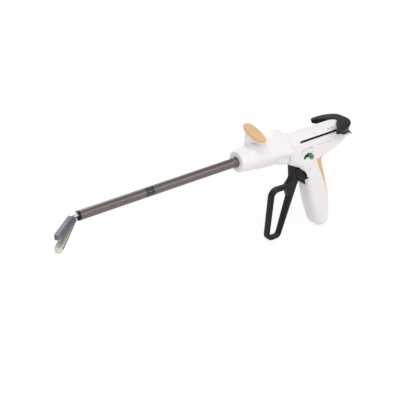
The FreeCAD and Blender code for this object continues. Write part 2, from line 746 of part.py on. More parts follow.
def make_cartridge():
    """Staple cartridge: a moulded bar with a blade slot and six staggered rows of pockets."""
    half = "dims.channel_half_width - dims.channel_wall - 0.05"
    bar = box("cartridge_bar", ("-dims.channel_end", "-dims.channel_start - 1.5"),
              (f"-({half})", half), ("-dims.jaw_radius + dims.channel_wall + 0.05",
                                     "-dims.cartridge_face"))
    trimmed = common("cartridge_round", bar, jaw_bar("cartridge_trim", "dims.channel_start",
                                                     "dims.channel_end + 1"))
    slot = box("cartridge_slot", ("-dims.channel_end + 0.8", "-dims.channel_start"),
               ("-dims.blade_slot_width / 2", "dims.blade_slot_width / 2"), ("-4.2", "1"))
    pockets = staple_row("cartridge_pockets", "-(dims.cartridge_face + dims.staple_depth)",
                         "dims.staple_depth")
    keep_placed(cut("staple_cartridge", trimmed, slot, pockets), "staple_cartridge", opened())
    body = new_body("nose_block")
    sketch = new_sketch(body, "nose_side", "XZ_Plane")
    rear, tip = "-(dims.channel_end + 0.05)", "-(dims.channel_end + dims.nose_length)"
    low = "-dims.jaw_radius + 0.25"
    draw_polygon(sketch, [(rear, "-dims.cartridge_face"), (f"{tip} + 2.6", "-dims.cartridge_face"),
                          (tip, "-dims.cartridge_face - 1.0"), (tip, f"{low} + 2.4"),
                          (f"{tip} + 3.0", low), (rear, low)])
    pad(body, sketch, "(dims.channel_half_width - 0.1) * 2", midplane=True)
    round_nose = common("nose_round", body, jaw_bar("nose_trim", "dims.channel_end - 1",
                                                    "dims.channel_end + dims.nose_length + 1"))
    nose_tip = "-(dims.channel_end + dims.nose_length)"
    keep_placed(cut("cartridge_nose", round_nose, corner_wedge("nose_corner_left", nose_tip, "1", "2.2", "6.5"),
                    corner_wedge("nose_corner_right", nose_tip, "-1", "2.2", "6.5")), "cartridge_nose", opened())


def make_blade():
    """Knife that runs in the anvil's T-slot and the cartridge's slot, with its hooked edge."""
    body = new_body("knife_plate")
    sketch = new_sketch(body, "knife_side", "XZ_Plane")
    rear, front = "-dims.blade_start", "-(dims.blade_start + dims.blade_length)"
    foot = "3.0 + dims.blade_foot_height + 0.3"
    draw_polygon(sketch, [(rear, f"{foot} - dims.blade_height"), (rear, foot), (f"{front} + 0.4", foot),
                          (front, "dims.anvil_face + 1.4"), (f"{front} + 1.7", "dims.anvil_face - 0.6"),
                          (f"{front} + 0.9", f"{foot} - dims.blade_height")])
    pad(body, sketch, "dims.blade_thickness", midplane=True)
    shoe = box("knife_shoe", (f"{front} + 0.4", rear), ("-dims.blade_foot_width / 2", "dims.blade_foot_width / 2"),
               ("3.3", "3.3 + dims.blade_foot_height"))
    keep_placed(fuse("knife_blade", body, shoe), "knife_blade", bent())


# Rotation collar
def flute_wire(x, mean, wave):
    """Closed wavy section of the collar at a station along the shaft."""
    count = int(num("dims.flute_count"))
    phase = math.radians(num("dims.flute_phase"))
    points = []
    steps = count * 8
    for i in range(steps):
        angle = 2 * math.pi * i / steps
        radius = mean - wave * math.cos(count * (angle - phase))
        points.append(V(x, -radius * math.sin(angle), radius * math.cos(angle)))
    curve = Part.BSplineCurve()
    curve.interpolate(Points=points, PeriodicFlag=True)
    return Part.Wire([curve.toShape()])


COLLAR = [
    ("dims.collar_front + 0.9", "dims.collar_nose_radius", "0"),
    ("21", "15.5", "0.25"),
    ("37", "17.2", "0.45"),
    ("50", "18.2", "0.6"),
    ("59", "18.0", "0.8"),
    ("66", "18.9", "1.2"),
    ("72", "20.3", "1.8"),
    ("77", "dims.flute_radius", "dims.flute_wave"),
    ("82", "dims.flute_radius - 0.2", "dims.flute_wave"),
    ("dims.collar_rear", "dims.flute_radius - 1.5", "dims.flute_wave - 0.2"),
]


def make_collar():
    """Swelling collar whose rear flares into a fluted flange for the fingers.

    It is lofted through wavy sections: station, mean radius and height of the waves. Two
    lofts meet at the middle station, because one over the uneven stations would ripple.
    """
    wires = [flute_wire(num(x), num(mean), num(wave)) for x, mean, wave in COLLAR]
    skins = []
    for end, span in (("front", wires[:5]), ("rear", wires[4:])):
        skin = doc.addObject("Part::Feature", f"collar_{end}")
        skin.Shape = Part.makeLoft(span, True, False)
        skins.append(skin)
    nose = turned("collar_nose", [
        ("dims.collar_front", "dims.shaft_seat_radius"), ("dims.collar_front", "dims.collar_nose_radius - 0.9"),
        ("dims.collar_front + 0.9", "dims.collar_nose_radius"),
        ("dims.collar_front + 0.95", "dims.collar_nose_radius"),
        ("dims.collar_front + 0.95", "dims.shaft_seat_radius")])
    boss = cylinder("collar_lever_boss", "z", ("dims.lever_at", "0"), ("10", "dims.lever_boss_top"),
                    "dims.lever_boss_radius")
    solid = fuse("collar_solid", nose, boss, *skins)
    room = cylinder("collar_room", "x", ("0", "0"), ("dims.collar_boss_end", "dims.collar_rim_start"),
                    "dims.collar_cavity_radius")
    rim = cylinder("collar_rim_bore", "x", ("0", "0"), ("dims.collar_rim_start - 1", "dims.collar_rear + 1"),
                   "dims.spigot_radius + dims.free_gap")
    bore = cylinder("collar_bore", "x", ("0", "0"), ("0", "dims.collar_boss_end + 1"),
                    "dims.shaft_seat_radius")
    post = cylinder("collar_post_hole", "z", ("dims.lever_at", "0"), ("8", "30"),
                    "dims.lever_post_radius + dims.running_gap")
    keep(cut("rotation_collar", solid, room, rim, bore, post), "rotation_collar")


# Articulation lever, drawn crosswise round its own post and turned with the bent tool
def lever_turned():
    turn = FreeCAD.Rotation(V(0, 0, 1), -num("dims.tool_angle") * num("dims.lever_ratio"))
    return FreeCAD.Placement(V(num("dims.lever_at"), 0, 0), turn)


def oval_wire(half_width, half_length, height):
    """Closed oval in a level plane, long across the shaft."""
    points = []
    for i in range(16):
        angle = 2 * math.pi * i / 16
        c, s = math.cos(angle), math.sin(angle)
        points.append(V(math.copysign(abs(c) ** 0.8, c) * half_width,
                        math.copysign(abs(s) ** 0.9, s) * half_length, height))
    curve = Part.BSplineCurve()
    curve.interpolate(Points=points, PeriodicFlag=True)
    return Part.Wire([curve.toShape()])


def make_lever():
    """Lever with a round base, a spreading web and a long wing, its crank below the collar's wall."""
    top, wing = num("dims.lever_boss_top"), num("dims.wing_height")
    base_top = top + num("dims.lever_base_height")
    half_l, half_w, thick = num("dims.wing_half_length"), num("dims.wing_half_width"), num("dims.wing_thickness")
    foot, rise = num("dims.lever_boss_radius") - 1.0, wing - base_top
    web = doc.addObject("Part::Feature", "lever_web")
    web.Shape = Part.makeLoft([oval_wire(foot, foot * 0.78, base_top - 0.3),
                               oval_wire((foot + half_w) / 2 + 0.4, half_l * 0.5, base_top + rise * 0.35),
                               oval_wire(half_w + 0.6, half_l * 0.73, base_top + rise * 0.7),
                               oval_wire(half_w * 0.98, half_l * 0.93, wing + 0.4)], True, False)
    plate = doc.addObject("Part::Feature", "lever_wing")
    plate.Shape = Part.makeLoft([oval_wire(half_w - 1.0, half_l - 1.4, wing - 0.2), oval_wire(half_w, half_l, wing + 0.8),
                                 oval_wire(half_w, half_l, wing + thick)], True, True)
    base = cylinder("lever_base", "z", ("0", "0"), ("dims.lever_boss_top + dims.free_gap",
                    "dims.lever_boss_top + dims.lever_base_height"), "dims.lever_boss_radius - 0.4")
    post = cylinder("lever_post", "z", ("0", "0"), ("dims.crank_height", "dims.lever_boss_top + 1"),
                    "dims.lever_post_radius")
    reach = "dims.link_offset * sin(45) / sin(dims.lever_ratio * 45)"
    crank = cylinder("lever_crank", "z", ("0", "0"), ("dims.crank_height", "dims.crank_height + dims.crank_thickness"),
                     "dims.lever_post_radius + 1")
    arm = box("lever_crank_arm", ("-dims.crank_half_width", "dims.crank_half_width"), ("0", reach),
              ("dims.crank_height", "dims.crank_height + dims.crank_thickness"))
    tip = cylinder("lever_crank_tip", "z", ("0", reach), ("dims.crank_height", "dims.crank_height + dims.crank_thickness"),
                   "dims.crank_half_width")
    pin = cylinder("lever_crank_pin", "z", ("0", reach), ("dims.crank_height - 3.0", "dims.crank_height + 0.5"),
                   "dims.crank_pin_radius")
    keep_placed(fuse("articulation_lever", web, plate, base, post, crank, arm, tip, pin),
                "articulation_lever", lever_turned())
    cap = doc.addObject("Part::Feature", "lever_pad_form")
    low, tall = wing + thick, num("dims.pad_thickness")
    long, wide = num("dims.pad_half_length"), num("dims.pad_half_width")
    cap.Shape = Part.makeLoft([oval_wire(wide, long, low), oval_wire(wide + 0.1, long + 0.1, low + tall * 0.45),
                               oval_wire(wide - 1.0, long - 1.1, low + tall * 0.8),
                               oval_wire(wide - 3.1, long - 4.0, low + tall)], True, False)
    keep_placed(cap, "lever_pad", lever_turned())


# Handle housing
BARREL = ("dims.barrel_half_width", "dims.barrel_top", "dims.barrel_bottom")


def barrel_form(name, inset):
    """Rounded bar of the barrel, drawn smaller by the inset."""
    wide, top, low = (f"({value} - ({inset}))" for value in BARREL)
    body = new_body(name)
    sketch = new_sketch(body, f"{name}_section", "YZ_Plane", f"dims.barrel_front + ({inset})")
    draw_polygon(sketch, [(f"-{wide}", f"-{low}"), (wide, f"-{low}"), (wide, top), (f"-{wide}", top)])
    pad(body, sketch, f"dims.barrel_rear - dims.barrel_front - 2 * ({inset})")
    for radius, height in (("dims.barrel_radius", num(top)), ("dims.barrel_low_radius", -num(low))):
        names = edges_where(body.Shape, lambda e: runs_along(e, 0, (num(wide), height))
                            or runs_along(e, 0, (-num(wide), height)))
        fillet(body, names, f"{radius} - ({inset})")
    rear = num(f"dims.barrel_rear - ({inset})")
    names = edges_where(body.Shape, lambda e: in_plane(e, 0, rear))
    fillet(body, names, f"min(dims.barrel_end_radius; dims.barrel_low_radius - 0.2) - ({inset})")
    return body


GRIP = [
    ("dims.barrel_front", "-2", None),
    ("dims.barrel_front", "-24.5", None),
    ("104.6", "-34", None),
    ("111.6", "-41", None),
    ("117.0", "-54", "10"),
    ("126.8", "-96", "60"),
    ("139.5", "-131", "9.5"),
    ("158.0", "-131", "10"),
    ("159.5", "-112", "30"),
    ("157.5", "-84", "60"),
    ("142.5", "-29.5", "5"),
    ("177.0", "-19.0", "16"),
    ("189.0", "-10.5", None),
    ("189.0", "-2", None),
]


def grip_form(name, inset):
    """Side slab of the lower housing and the grip, drawn smaller by the inset."""
    return rounded_form(name, GRIP, "dims.grip_half_width", "dims.grip_radius", inset)


SCREWS = [("90", "-22"), ("181", "-3.5"), ("137", "-68"), ("149", "-120")]
STRAP = [("131", "-27.5"), ("150", "-24"), ("174", "-58"), ("166", "-92"), ("156.5", "-90"), ("147", "-66.2"),
         ("136.8", "-43.2")]
TRIGGER_WAY = [("94.5", "-15"), ("113", "-15"), ("128", "-64"), ("112", "-64"), ("108", "-50"), ("94.5", "-38")]
NOTCH = [("100", "-40"), ("104.6", "-34.05"), ("111.4", "-39.9"), ("117.5", "-49.7"), ("120.5", "-52.6"),
         ("118.5", "-55.5"), ("112", "-58"), ("104", "-52")]
MOUTH = [("dims.mouth_front", "-30"), ("120", "-30"), ("128", "dims.mouth_z"), ("dims.mouth_front", "dims.mouth_z")]


def slab(name, corners, half_width):
    """Flat-sided slab from a side outline, centred on the middle plane."""
    body = new_body(name)
    sketch = new_sketch(body, f"{name}_outline", "XZ_Plane")
    draw_polygon(sketch, corners)
    pad(body, sketch, f"2 * ({half_width})", midplane=True)
    return body


def make_housing():
    """Two handle shells with their nose spigot, slots, bosses and strap recess, and the strap."""
    form = fuse("handle_form", barrel_form("barrel_outer", "0"), grip_form("grip_outer", "0"))
    under_strap = fuse("handle_under_strap", barrel_form("barrel_strap", "dims.strap_thickness"),
                       grip_form("grip_strap", "dims.strap_thickness"))
    hollow = fuse("handle_hollow", barrel_form("barrel_inner", "dims.shell_wall"),
                  grip_form("grip_inner", "dims.shell_wall"))
    strap = common("strap_skin", form, slab("strap_region", STRAP, "dims.barrel_half_width + 1"))
    keep(cut("grip_backstrap", strap, under_strap), "grip_backstrap")

    front = "dims.collar_rim_start - dims.spigot_lip_width - 0.5"
    spigot = cylinder("spigot", "x", ("0", "0"), (front, "dims.barrel_front + dims.shell_wall"),
                      "dims.spigot_radius")
    lip = cylinder("spigot_lip_ring", "x", ("0", "0"), (front, f"{front} + dims.spigot_lip_width"),
                   "dims.spigot_radius + dims.spigot_lip")
    bore = cylinder("spigot_way", "x", ("0", "0"), (f"{front} - 1", "dims.barrel_front + dims.shell_wall + 1"),
                    "dims.spigot_bore")
    slot_half = "dims.slot_height / 2"
    slots = [box("saddle_slot", (f"dims.slot_front + {slot_half}", f"dims.slot_rear - {slot_half}"),
                 ("-20", "20"), (f"dims.slot_centre - {slot_half}", f"dims.slot_centre + {slot_half}"))]
    for end, place in (("front", f"dims.slot_front + {slot_half}"), ("rear", f"dims.slot_rear - {slot_half}")):
        slots.append(cylinder(f"saddle_slot_{end}", "y", (place, "dims.slot_centre"), ("-20", "20"), slot_half))
    way = slab("trigger_way", TRIGGER_WAY, "dims.trigger_slot_width / 2")
    notch = slab("mouth_notch", NOTCH, "dims.grip_half_width + 1")
    mouth = slab("mouth_room", MOUTH, "dims.horn_half_width + dims.horn_gap")
    throat = cylinder("mouth_throat", "x", ("0", "dims.mouth_z"), ("dims.mouth_front", "dims.mouth_rear"),
                      "dims.mouth_radius")
    shell = cut("shell_walls", fuse("shell_solid", form, spigot, lip), hollow, bore, way, notch, mouth, throat,
                strap, *slots)

    bosses = []
    pilots = []
    for i, (x, z) in enumerate(SCREWS):
        bosses.append(cylinder(f"screw_boss_{i}", "y", (x, z), ("-dims.grip_half_width + 1", "dims.grip_half_width - 1"),
                               "dims.boss_radius"))
        pilots.append(cylinder(f"screw_pilot_{i}", "y", (x, z), ("-7", "20"), "dims.screw_radius"))
        pilots.append(cylinder(f"screw_seat_{i}", "y", (x, z), ("dims.grip_half_width - 2.6", "20"),
                               "dims.screw_head_radius + 0.15"))
    pivot = ("dims.trigger_pivot_x", "dims.trigger_pivot_z")
    for side, low, high in (("left", "-dims.grip_half_width + 1", "-dims.pivot_boss_face"),
                            ("right", "dims.pivot_boss_face", "dims.grip_half_width - 1")):
        bosses.append(cylinder(f"pivot_boss_{side}", "y", pivot, (low, high), "dims.pivot_boss_radius"))
    bosses.append(cylinder("selector_boss", "y", ("dims.selector_x", "dims.selector_z"),
                           ("-dims.grip_half_width + 1", "-8.0"), "dims.selector_pin_radius"))
    pin_hole = cylinder("pivot_pin_hole", "y", pivot, ("-12", "12"), "dims.trigger_pin_radius")
    bossed = cut("shell_bossed", fuse("shell_with_bosses", shell, common("bosses_inside", fuse("all_bosses", *bosses), form)),
                 pin_hole, *pilots)
    left_half = box("left_half", ("0", "300"), ("-40", "0"), ("-200", "60"))
    right_half = box("right_half", ("0", "300"), ("0", "40"), ("-200", "60"))
    left = common("left_half_shell", bossed, left_half)
    keep(cut("left_handle_shell", left, selector_slot()), "left_handle_shell")
    keep(common("right_handle_shell", bossed, right_half), "right_handle_shell")

    keep(cylinder("trigger_pivot_pin", "y", pivot, ("-12", "12"), "dims.trigger_pin_radius"), "trigger_pivot_pin")
    screws = []
    seat = "dims.grip_half_width - 2.6"
    for i, (x, z) in enumerate(SCREWS):
        shank = cylinder(f"screw_shank_{i}", "y", (x, z), ("-6.5", seat), "dims.screw_radius")
        head = cylinder(f"screw_head_{i}", "y", (x, z), (seat, f"{seat} + dims.screw_head_height"),
                        "dims.screw_head_radius")
        recess = box(f"screw_recess_{i}", (f"{x} - 1.5", f"{x} + 1.5"),
                     (f"{seat} + dims.screw_head_height - 0.8", f"{seat} + 5"), (f"{z} - 0.35", f"{z} + 0.35"))
        screws.append(cut(f"screw_{i}", fuse(f"screw_solid_{i}", shank, head), recess))
    group = doc.addObject("Part::Compound", "shell_screws")
    group.Links = screws
    doc.recompute()
    keep(group, "shell_screws")


def arc_point(angle):
    return (f"dims.selector_x + dims.selector_arc * cos({angle})",
            f"dims.selector_z + dims.selector_arc * sin({angle})")


def arc_form(name, low, high, half_width, span):
    """Round-ended arc about the selector's centre between two angles, along the y span."""
    centre = ("dims.selector_x", "dims.selector_z")
    outer = cylinder(f"{name}_outer", "y", centre, span, f"dims.selector_arc + {half_width}")
    inner = cylinder(f"{name}_inner", "y", centre, ("-21", "1"), f"dims.selector_arc - ({half_width})")
    far = [("30", low), (f"30 / cos((({high}) - ({low})) / 2)", f"(({high}) + ({low})) / 2"), ("30", high)]
    wedge = slab(f"{name}_wedge", [centre] + [(f"dims.selector_x + {r} * cos({a})", f"dims.selector_z + {r} * sin({a})")
                                              for r, a in far], "20")
    arc = common(f"{name}_arc", cut(f"{name}_ring", outer, inner), wedge)
    ends = [cylinder(f"{name}_{end}", "y", arc_point(angle), span, half_width)
            for end, angle in (("low", low), ("high", high))]
    return fuse(name, arc, *ends)


def selector_slot():
    """Arched slot for the selector's knob, through the left shell's wall."""
    return arc_form("selector_slot_cutter", "dims.selector_low", "dims.selector_high", "dims.selector_slot / 2",
                    ("-20", "-dims.grip_half_width + 4"))


def make_selector():
    """Safety selector: a dark disc behind the slot and the green knob that slides along it."""
    centre = ("dims.selector_x", "dims.selector_z")
    back = "-dims.grip_half_width + dims.shell_wall + dims.selector_gap"
    span = (back, f"{back} + dims.selector_disc_thickness")
    spot = arc_point("(dims.selector_low + dims.selector_knob_span / 2)")
    disc = cylinder("selector_plate", "y", centre, span, "dims.selector_disc")
    hole = cylinder("selector_hole", "y", centre, ("-20", "0"), "dims.selector_pin_radius + dims.running_gap")
    socket = cylinder("selector_socket", "y", spot, ("-20", "0"), "dims.selector_peg_radius")
    keep(cut("selector_disc", disc, hole, socket), "selector_disc")
    knob = arc_form("selector_knob_head", "dims.selector_low", "dims.selector_low + dims.selector_knob_span",
                    "(dims.selector_slot / 2 - dims.selector_knob_gap)",
                    ("-dims.grip_half_width - dims.selector_knob_height", back))
    peg = cylinder("selector_knob_peg", "y", spot, (f"{back} - 0.2", f"{back} + dims.selector_disc_thickness"),
                   "dims.selector_peg_radius")
    keep(fuse("selector_knob", knob, peg), "selector_knob")


TRIGGER = [
    ("94.0", "-9.5", "4"),
    ("97.0", "-49.0", "9"),
    ("89.0", "-57.4", "6"),
    ("63.6", "-55.8", "13"),
    ("54.9", "-129.4", "9"),
    ("78.0", "-129.4", "8"),
    ("105.8", "-61.5", "7"),
    ("112.0", "-50.0", "5"),
    ("109.5", "-9.5", "3"),
]
FINGER_HOLE = [("68.4", "-62.2", "6.5"), ("59.8", "-124.9", "6"), ("75.8", "-124.9", "4"), ("92.4", "-74.5", "5"),
               ("88.3", "-62.2", "5")]
HORN = [("102.0", "-37", "2"), ("104.5", "-54", "3"), ("122.6", "-56.5", "1.6"), ("121.5", "-46", "3"),
        ("112.5", "-36.5", "2")]


def make_trigger():
    """Trigger: a rounded finger loop on a neck, its horn in the grip's mouth and a forked head."""
    body = rounded_form("trigger_form", TRIGGER, "dims.trigger_width / 2", "dims.trigger_rounding")
    hole = new_sketch(body, "finger_hole", "XZ_Plane")
    draw_polygon(hole, [(a, b) for a, b, _ in FINGER_HOLE])
    pocket(body, hole, "dims.trigger_width + 2", midplane=True)
    for a, b, radius in FINGER_HOLE:
        spot = (num(a), num(b))
        fillet(body, edges_where(body.Shape, lambda e: runs_along(e, 1, spot)), radius)
    reach = num("dims.trigger_width / 2")
    inside = (59.0, 93.0, -125.5, -61.6)

    def on_hole(edge):
        b = edge.BoundBox
        flat = in_plane(edge, 1, reach) or in_plane(edge, 1, -reach)
        return flat and b.XMin > inside[0] and b.XMax < inside[1] and b.ZMin > inside[2] and b.ZMax < inside[3]

    fillet(body, edges_where(body.Shape, on_hole), "dims.trigger_rounding")
    pivot = ("dims.trigger_pivot_x", "dims.trigger_pivot_z")
    bore = cylinder("trigger_bore", "y", pivot, ("-20", "20"), "dims.trigger_pin_radius + dims.running_gap")
    pawl_bore = cylinder("trigger_pawl_bore", "y", ("dims.pawl_pivot_x", "dims.pawl_pivot_z"), ("-4.4", "4.4"),
                         "dims.pawl_pin_radius")
    fork = box("trigger_fork", ("dims.trigger_pivot_x + dims.trigger_pin_radius + 0.9", "114"),
               ("-(dims.pawl_width / 2 + dims.free_gap)", "dims.pawl_width / 2 + dims.free_gap"), ("-17.5", "0"))
    block = rounded_form("trigger_horn", HORN, "dims.horn_half_width", "1.2")
    plan = new_body("trigger_horn_plan")
    sketch = new_sketch(plan, "horn_plan", "XY_Plane", "-60")
    slim, broad = "(dims.trigger_width / 2 - 0.4)", "dims.horn_half_width"
    draw_polygon(sketch, [("100", f"-{slim}"), ("110", f"-{broad}"), ("126", f"-{broad}"), ("126", broad),
                          ("110", broad), ("100", slim)])
    pad(plan, sketch, "30")
    belly = cylinder("trigger_horn_belly", "x", ("0", "dims.mouth_z"), ("99", "127"), "dims.mouth_radius - dims.horn_gap")
    horn = common("trigger_horn_round", common("trigger_horn_flared", block, plan), belly)
    keep(cut("firing_trigger", fuse("trigger_solid", body, horn), bore, pawl_bore, fork), "firing_trigger")
    keep(cylinder("pawl_pin", "y", ("dims.pawl_pivot_x", "dims.pawl_pivot_z"), ("-4.4", "4.4"),
                  "dims.pawl_pin_radius"), "pawl_pin")
    x, z = "dims.pawl_pivot_x", "dims.pawl_pivot_z"
    plate = slab("pawl_plate", [(f"{x} - 2", f"{z} - 2.2"), (f"{x} + 2.2", f"{z} - 2.2"), (f"{x} + 2.2", f"{z} + 2.0"),
                                (f"{x} - 4.4", f"{z} + 7.9"), (f"{x} - 6", f"{z} + 8.8"), (f"{x} - 6.1", f"{z} + 7.8"),
                                (f"{x} - 2.6", f"{z} + 2.4")], "dims.pawl_width / 2")
    pawl_hole = cylinder("pawl_hole", "y", (x, z), ("-5", "5"), "dims.pawl_pin_radius + dims.running_gap")
    keep(cut("drive_pawl", plate, pawl_hole), "drive_pawl")


def make_spring():
    """Torsion coil round the right pivot boss, which swings the trigger back.

    The wire's section is an octagon, which keeps the coil's faces few.
    """
    wire = num("dims.spring_wire_radius")
    pitch = num("dims.spring_pitch")
    height = pitch * num("dims.spring_turns")
    radius = num("dims.pivot_boss_radius + dims.spring_gap") + wire
    corners = []
    for i in range(8):
        angle = math.radians(45 * i + 22.5)
        corners.append(V(radius + wire * math.cos(angle), 0, wire * math.sin(angle)))
    helix = Part.makeHelix(pitch, height, radius)
    section = Part.makePolygon(corners + corners[:1])
    spring = doc.addObject("Part::Feature", "trigger_spring")
    spring.Shape = Part.Wire(helix.Edges).makePipeShell([section], True, True)
    start = num("dims.pivot_boss_face + dims.spring_gap") + wire
    spring.Placement = FreeCAD.Placement(V(num("dims.trigger_pivot_x"), start, num("dims.trigger_pivot_z")),
                                         FreeCAD.Rotation(V(1, 0, 0), -90))
    keep(spring, "trigger_spring")


def make_carriage():
    """Firing rack with its ratchet teeth, the long push rod, the crossbar and the black saddle."""
    bottom = "-(dims.rack_bottom - dims.tooth_depth)"
    body = new_body("rack_bar")
    sketch = new_sketch(body, "rack_side", "XZ_Plane")
    rear = "dims.crossbar_rear + 2"
    draw_polygon(sketch, [("dims.rack_front", bottom), (rear, bottom), (rear, "dims.rack_top - 2"),
                          (f"{rear} - 2", "dims.rack_top"), ("dims.rack_front + 3", "dims.rack_top"),
                          ("dims.rack_front", "dims.rack_top - 3")])
    pad(body, sketch, "2 * dims.rack_half_width", midplane=True)
    tooth = new_sketch(body, "rack_tooth", "XZ_Plane")
    first = "dims.rack_front + 2.5"
    draw_polygon(tooth, [(first, f"{bottom} + 0.2"), (first, bottom),
                         (f"{first} + dims.tooth_pitch * 0.7", "-dims.rack_bottom"),
                         (f"{first} + dims.tooth_pitch * 0.88", "-dims.rack_bottom"),
                         (f"{first} + dims.tooth_pitch * 0.88", f"{bottom} + 0.2")])
    single = pad(body, tooth, "2 * dims.rack_half_width", midplane=True)
    linear_pattern(body, single, "X_Axis", "dims.tooth_pitch * (dims.tooth_count - 1)", "dims.tooth_count")
    rod_hole = cylinder("rack_rod_hole", "x", ("0", "0"), ("dims.rack_front - 1", "dims.rack_front + 6"),
                        "dims.rod_radius")
    bar_x = ("dims.crossbar_rear - dims.crossbar_length", "dims.crossbar_rear")
    bar_z = ("dims.slot_centre - dims.crossbar_height / 2", "dims.slot_centre + dims.crossbar_height / 2")
    window = box("rack_window", bar_x, ("-9", "9"), bar_z)
    keep(cut("firing_rack", body, rod_hole, window), "firing_rack")
    keep(cylinder("firing_rod", "x", ("0", "0"), ("-dims.rod_front", "dims.rack_front + 6"), "dims.rod_radius"),
         "firing_rod")
    half = "dims.barrel_half_width + 5"
    keep(box("saddle_crossbar", bar_x, (f"-({half})", half), bar_z), "saddle_crossbar")
    socket = box("saddle_socket", bar_x, (f"-({half})", half), bar_z)
    make_saddle(socket)


SADDLE_OUTER = [(154.5, 25.5), (160, 27.3), (170, 26.6), (180, 22.6), (187, 15), (190, 6)]
SADDLE_INNER = [(156.5, 22), (165.5, 14), (168, 9), (176, 2.5)]
SADDLE_SIDE = [("153", "7.6"), ("155.5", "9.8"), ("160", "11.4"), ("170", "12.9"), ("178", "13.8"), ("188", "13.8"),
               ("197", "11"), ("197", "-7.4"), ("192", "-7.2"), ("187", "-4.4"), ("181", "-0.6"), ("176", "1.2"),
               ("166", "1.8"), ("162", "4.2"), ("153", "5.2")]


def saddle_wire(height, scale):
    """Crescent plan of the saddle at a height, its outer side scaled about the crossbar."""
    middle = 165.0
    half = [(middle + (x - middle) * scale, y * scale) for x, y in SADDLE_OUTER]
    outer = half + [(middle + 25.6 * scale, 0.0)] + [(x, -y) for x, y in reversed(half)]
    curve = Part.BSplineCurve()
    curve.interpolate(Points=[V(x, y, height) for x, y in outer])
    inner = [(x, -y) for x, y in SADDLE_INNER] + list(reversed(SADDLE_INNER))
    chain = [outer[-1]] + inner + [outer[0]]
    lines = [Part.LineSegment(V(a[0], a[1], height), V(b[0], b[1], height)).toShape()
             for a, b in zip(chain, chain[1:])]
    return Part.Wire([curve.toShape()] + lines)


def make_saddle(socket):
    """Black pull-back saddle: a swept-forward crescent with a concave face and a flared lower lip."""
    horns = doc.addObject("Part::Feature", "saddle_horns")
    horns.Shape = Part.makeLoft([saddle_wire(height, scale) for height, scale in
                                 ((-7.5, 1.18), (-3, 1.06), (1.5, 0.95), (6, 0.95), (10.5, 1.02), (14.2, 1.0))], True, False)
    side = common("saddle_sided", horns, slab("saddle_side", SADDLE_SIDE, "32"))
    crown = cylinder("saddle_crown", "x", ("0", "dims.saddle_top - dims.saddle_crown_radius"), ("150", "195"),
                     "dims.saddle_crown_radius")
    crowned = common("saddle_crowned", side, crown)
    wide, high = "dims.barrel_half_width - dims.barrel_radius", "dims.barrel_top - dims.barrel_radius"
    reach = ("150", "195")
    room = [box("saddle_room_low", reach, ("-(dims.barrel_half_width + dims.saddle_gap)",
                                           "dims.barrel_half_width + dims.saddle_gap"), ("-12", high)),
            box("saddle_room_top", reach, (f"-({wide})", wide), ("0", "dims.barrel_top + dims.saddle_gap")),
            cylinder("saddle_room_left", "x", (f"-({wide})", high), reach, "dims.barrel_radius + dims.saddle_gap"),
            cylinder("saddle_room_right", "x", (wide, high), reach, "dims.barrel_radius + dims.saddle_gap")]
    keep(cut("retraction_saddle", crowned, socket, *room), "retraction_saddle")


def main():
    make_shaft_tube()
    make_nose_ferrule()
    make_unit_tube()
    make_band()
    make_boot_ring()
    make_mounting_knuckle()
    make_links()
    make_tool_knuckle()
    make_anvil()
    make_channel()
    make_cartridge()
    make_blade()
    make_collar()
    make_lever()
    make_housing()
    make_selector()
    make_trigger()
    make_spring()
    make_carriage()
    doc.recompute()
    for thing in doc.Objects:
        if "Invalid" in thing.State or "Error" in thing.State:
            raise RuntimeError(f"{thing.Name} failed: {thing.State}")
    os.makedirs("parts", exist_ok=True)
    for node in NODES:
        shape = node.Shape
        if shape.isNull() or not shape.isValid() or not shape.Solids:
            raise RuntimeError(f"{node.Label} has no valid solid")
        shape.exportStep(f"parts/{node.Label}.step")
    print(f"{len(NODES)} pieces written")


main()
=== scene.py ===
"""Looks of a hand-held endoscopic linear stapler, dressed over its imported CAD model.

Everything is in metres in the model's own frame: the origin is on the shaft axis where the
bare shaft leaves the nose ferrule, +X runs towards the handle, +Z is up and +Y is the
instrument's right. Sizes in millimetres go through MM.
"""

import json
import logging
import math
from dataclasses import dataclass, field
from enum import Enum
from typing import Any, Callable, Iterable

import bmesh
import bpy
import numpy as np
from mathutils import Matrix, Vector


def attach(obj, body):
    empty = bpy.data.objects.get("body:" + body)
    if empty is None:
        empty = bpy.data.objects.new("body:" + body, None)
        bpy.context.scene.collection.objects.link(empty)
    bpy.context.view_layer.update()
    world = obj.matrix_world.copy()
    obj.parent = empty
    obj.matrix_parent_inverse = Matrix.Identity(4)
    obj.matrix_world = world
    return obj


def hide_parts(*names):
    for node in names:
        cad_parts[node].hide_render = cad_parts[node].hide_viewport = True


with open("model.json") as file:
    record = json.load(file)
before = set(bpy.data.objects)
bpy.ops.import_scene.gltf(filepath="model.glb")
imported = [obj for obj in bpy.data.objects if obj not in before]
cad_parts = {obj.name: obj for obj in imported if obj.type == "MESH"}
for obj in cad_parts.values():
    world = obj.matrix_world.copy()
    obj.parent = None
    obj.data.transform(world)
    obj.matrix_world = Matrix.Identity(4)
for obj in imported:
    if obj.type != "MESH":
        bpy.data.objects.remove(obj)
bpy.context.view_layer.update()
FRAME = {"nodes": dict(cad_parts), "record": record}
MM = 0.001
# How CAD meshes are cleaned: doubles merged in metres, faces joined and creases kept in degrees
MERGE_DISTANCE = 2e-6
FLAT_ANGLE = 1.0
CREASE_ANGLE = 35.0
LOG = logging.getLogger("stapler")
Array = np.ndarray


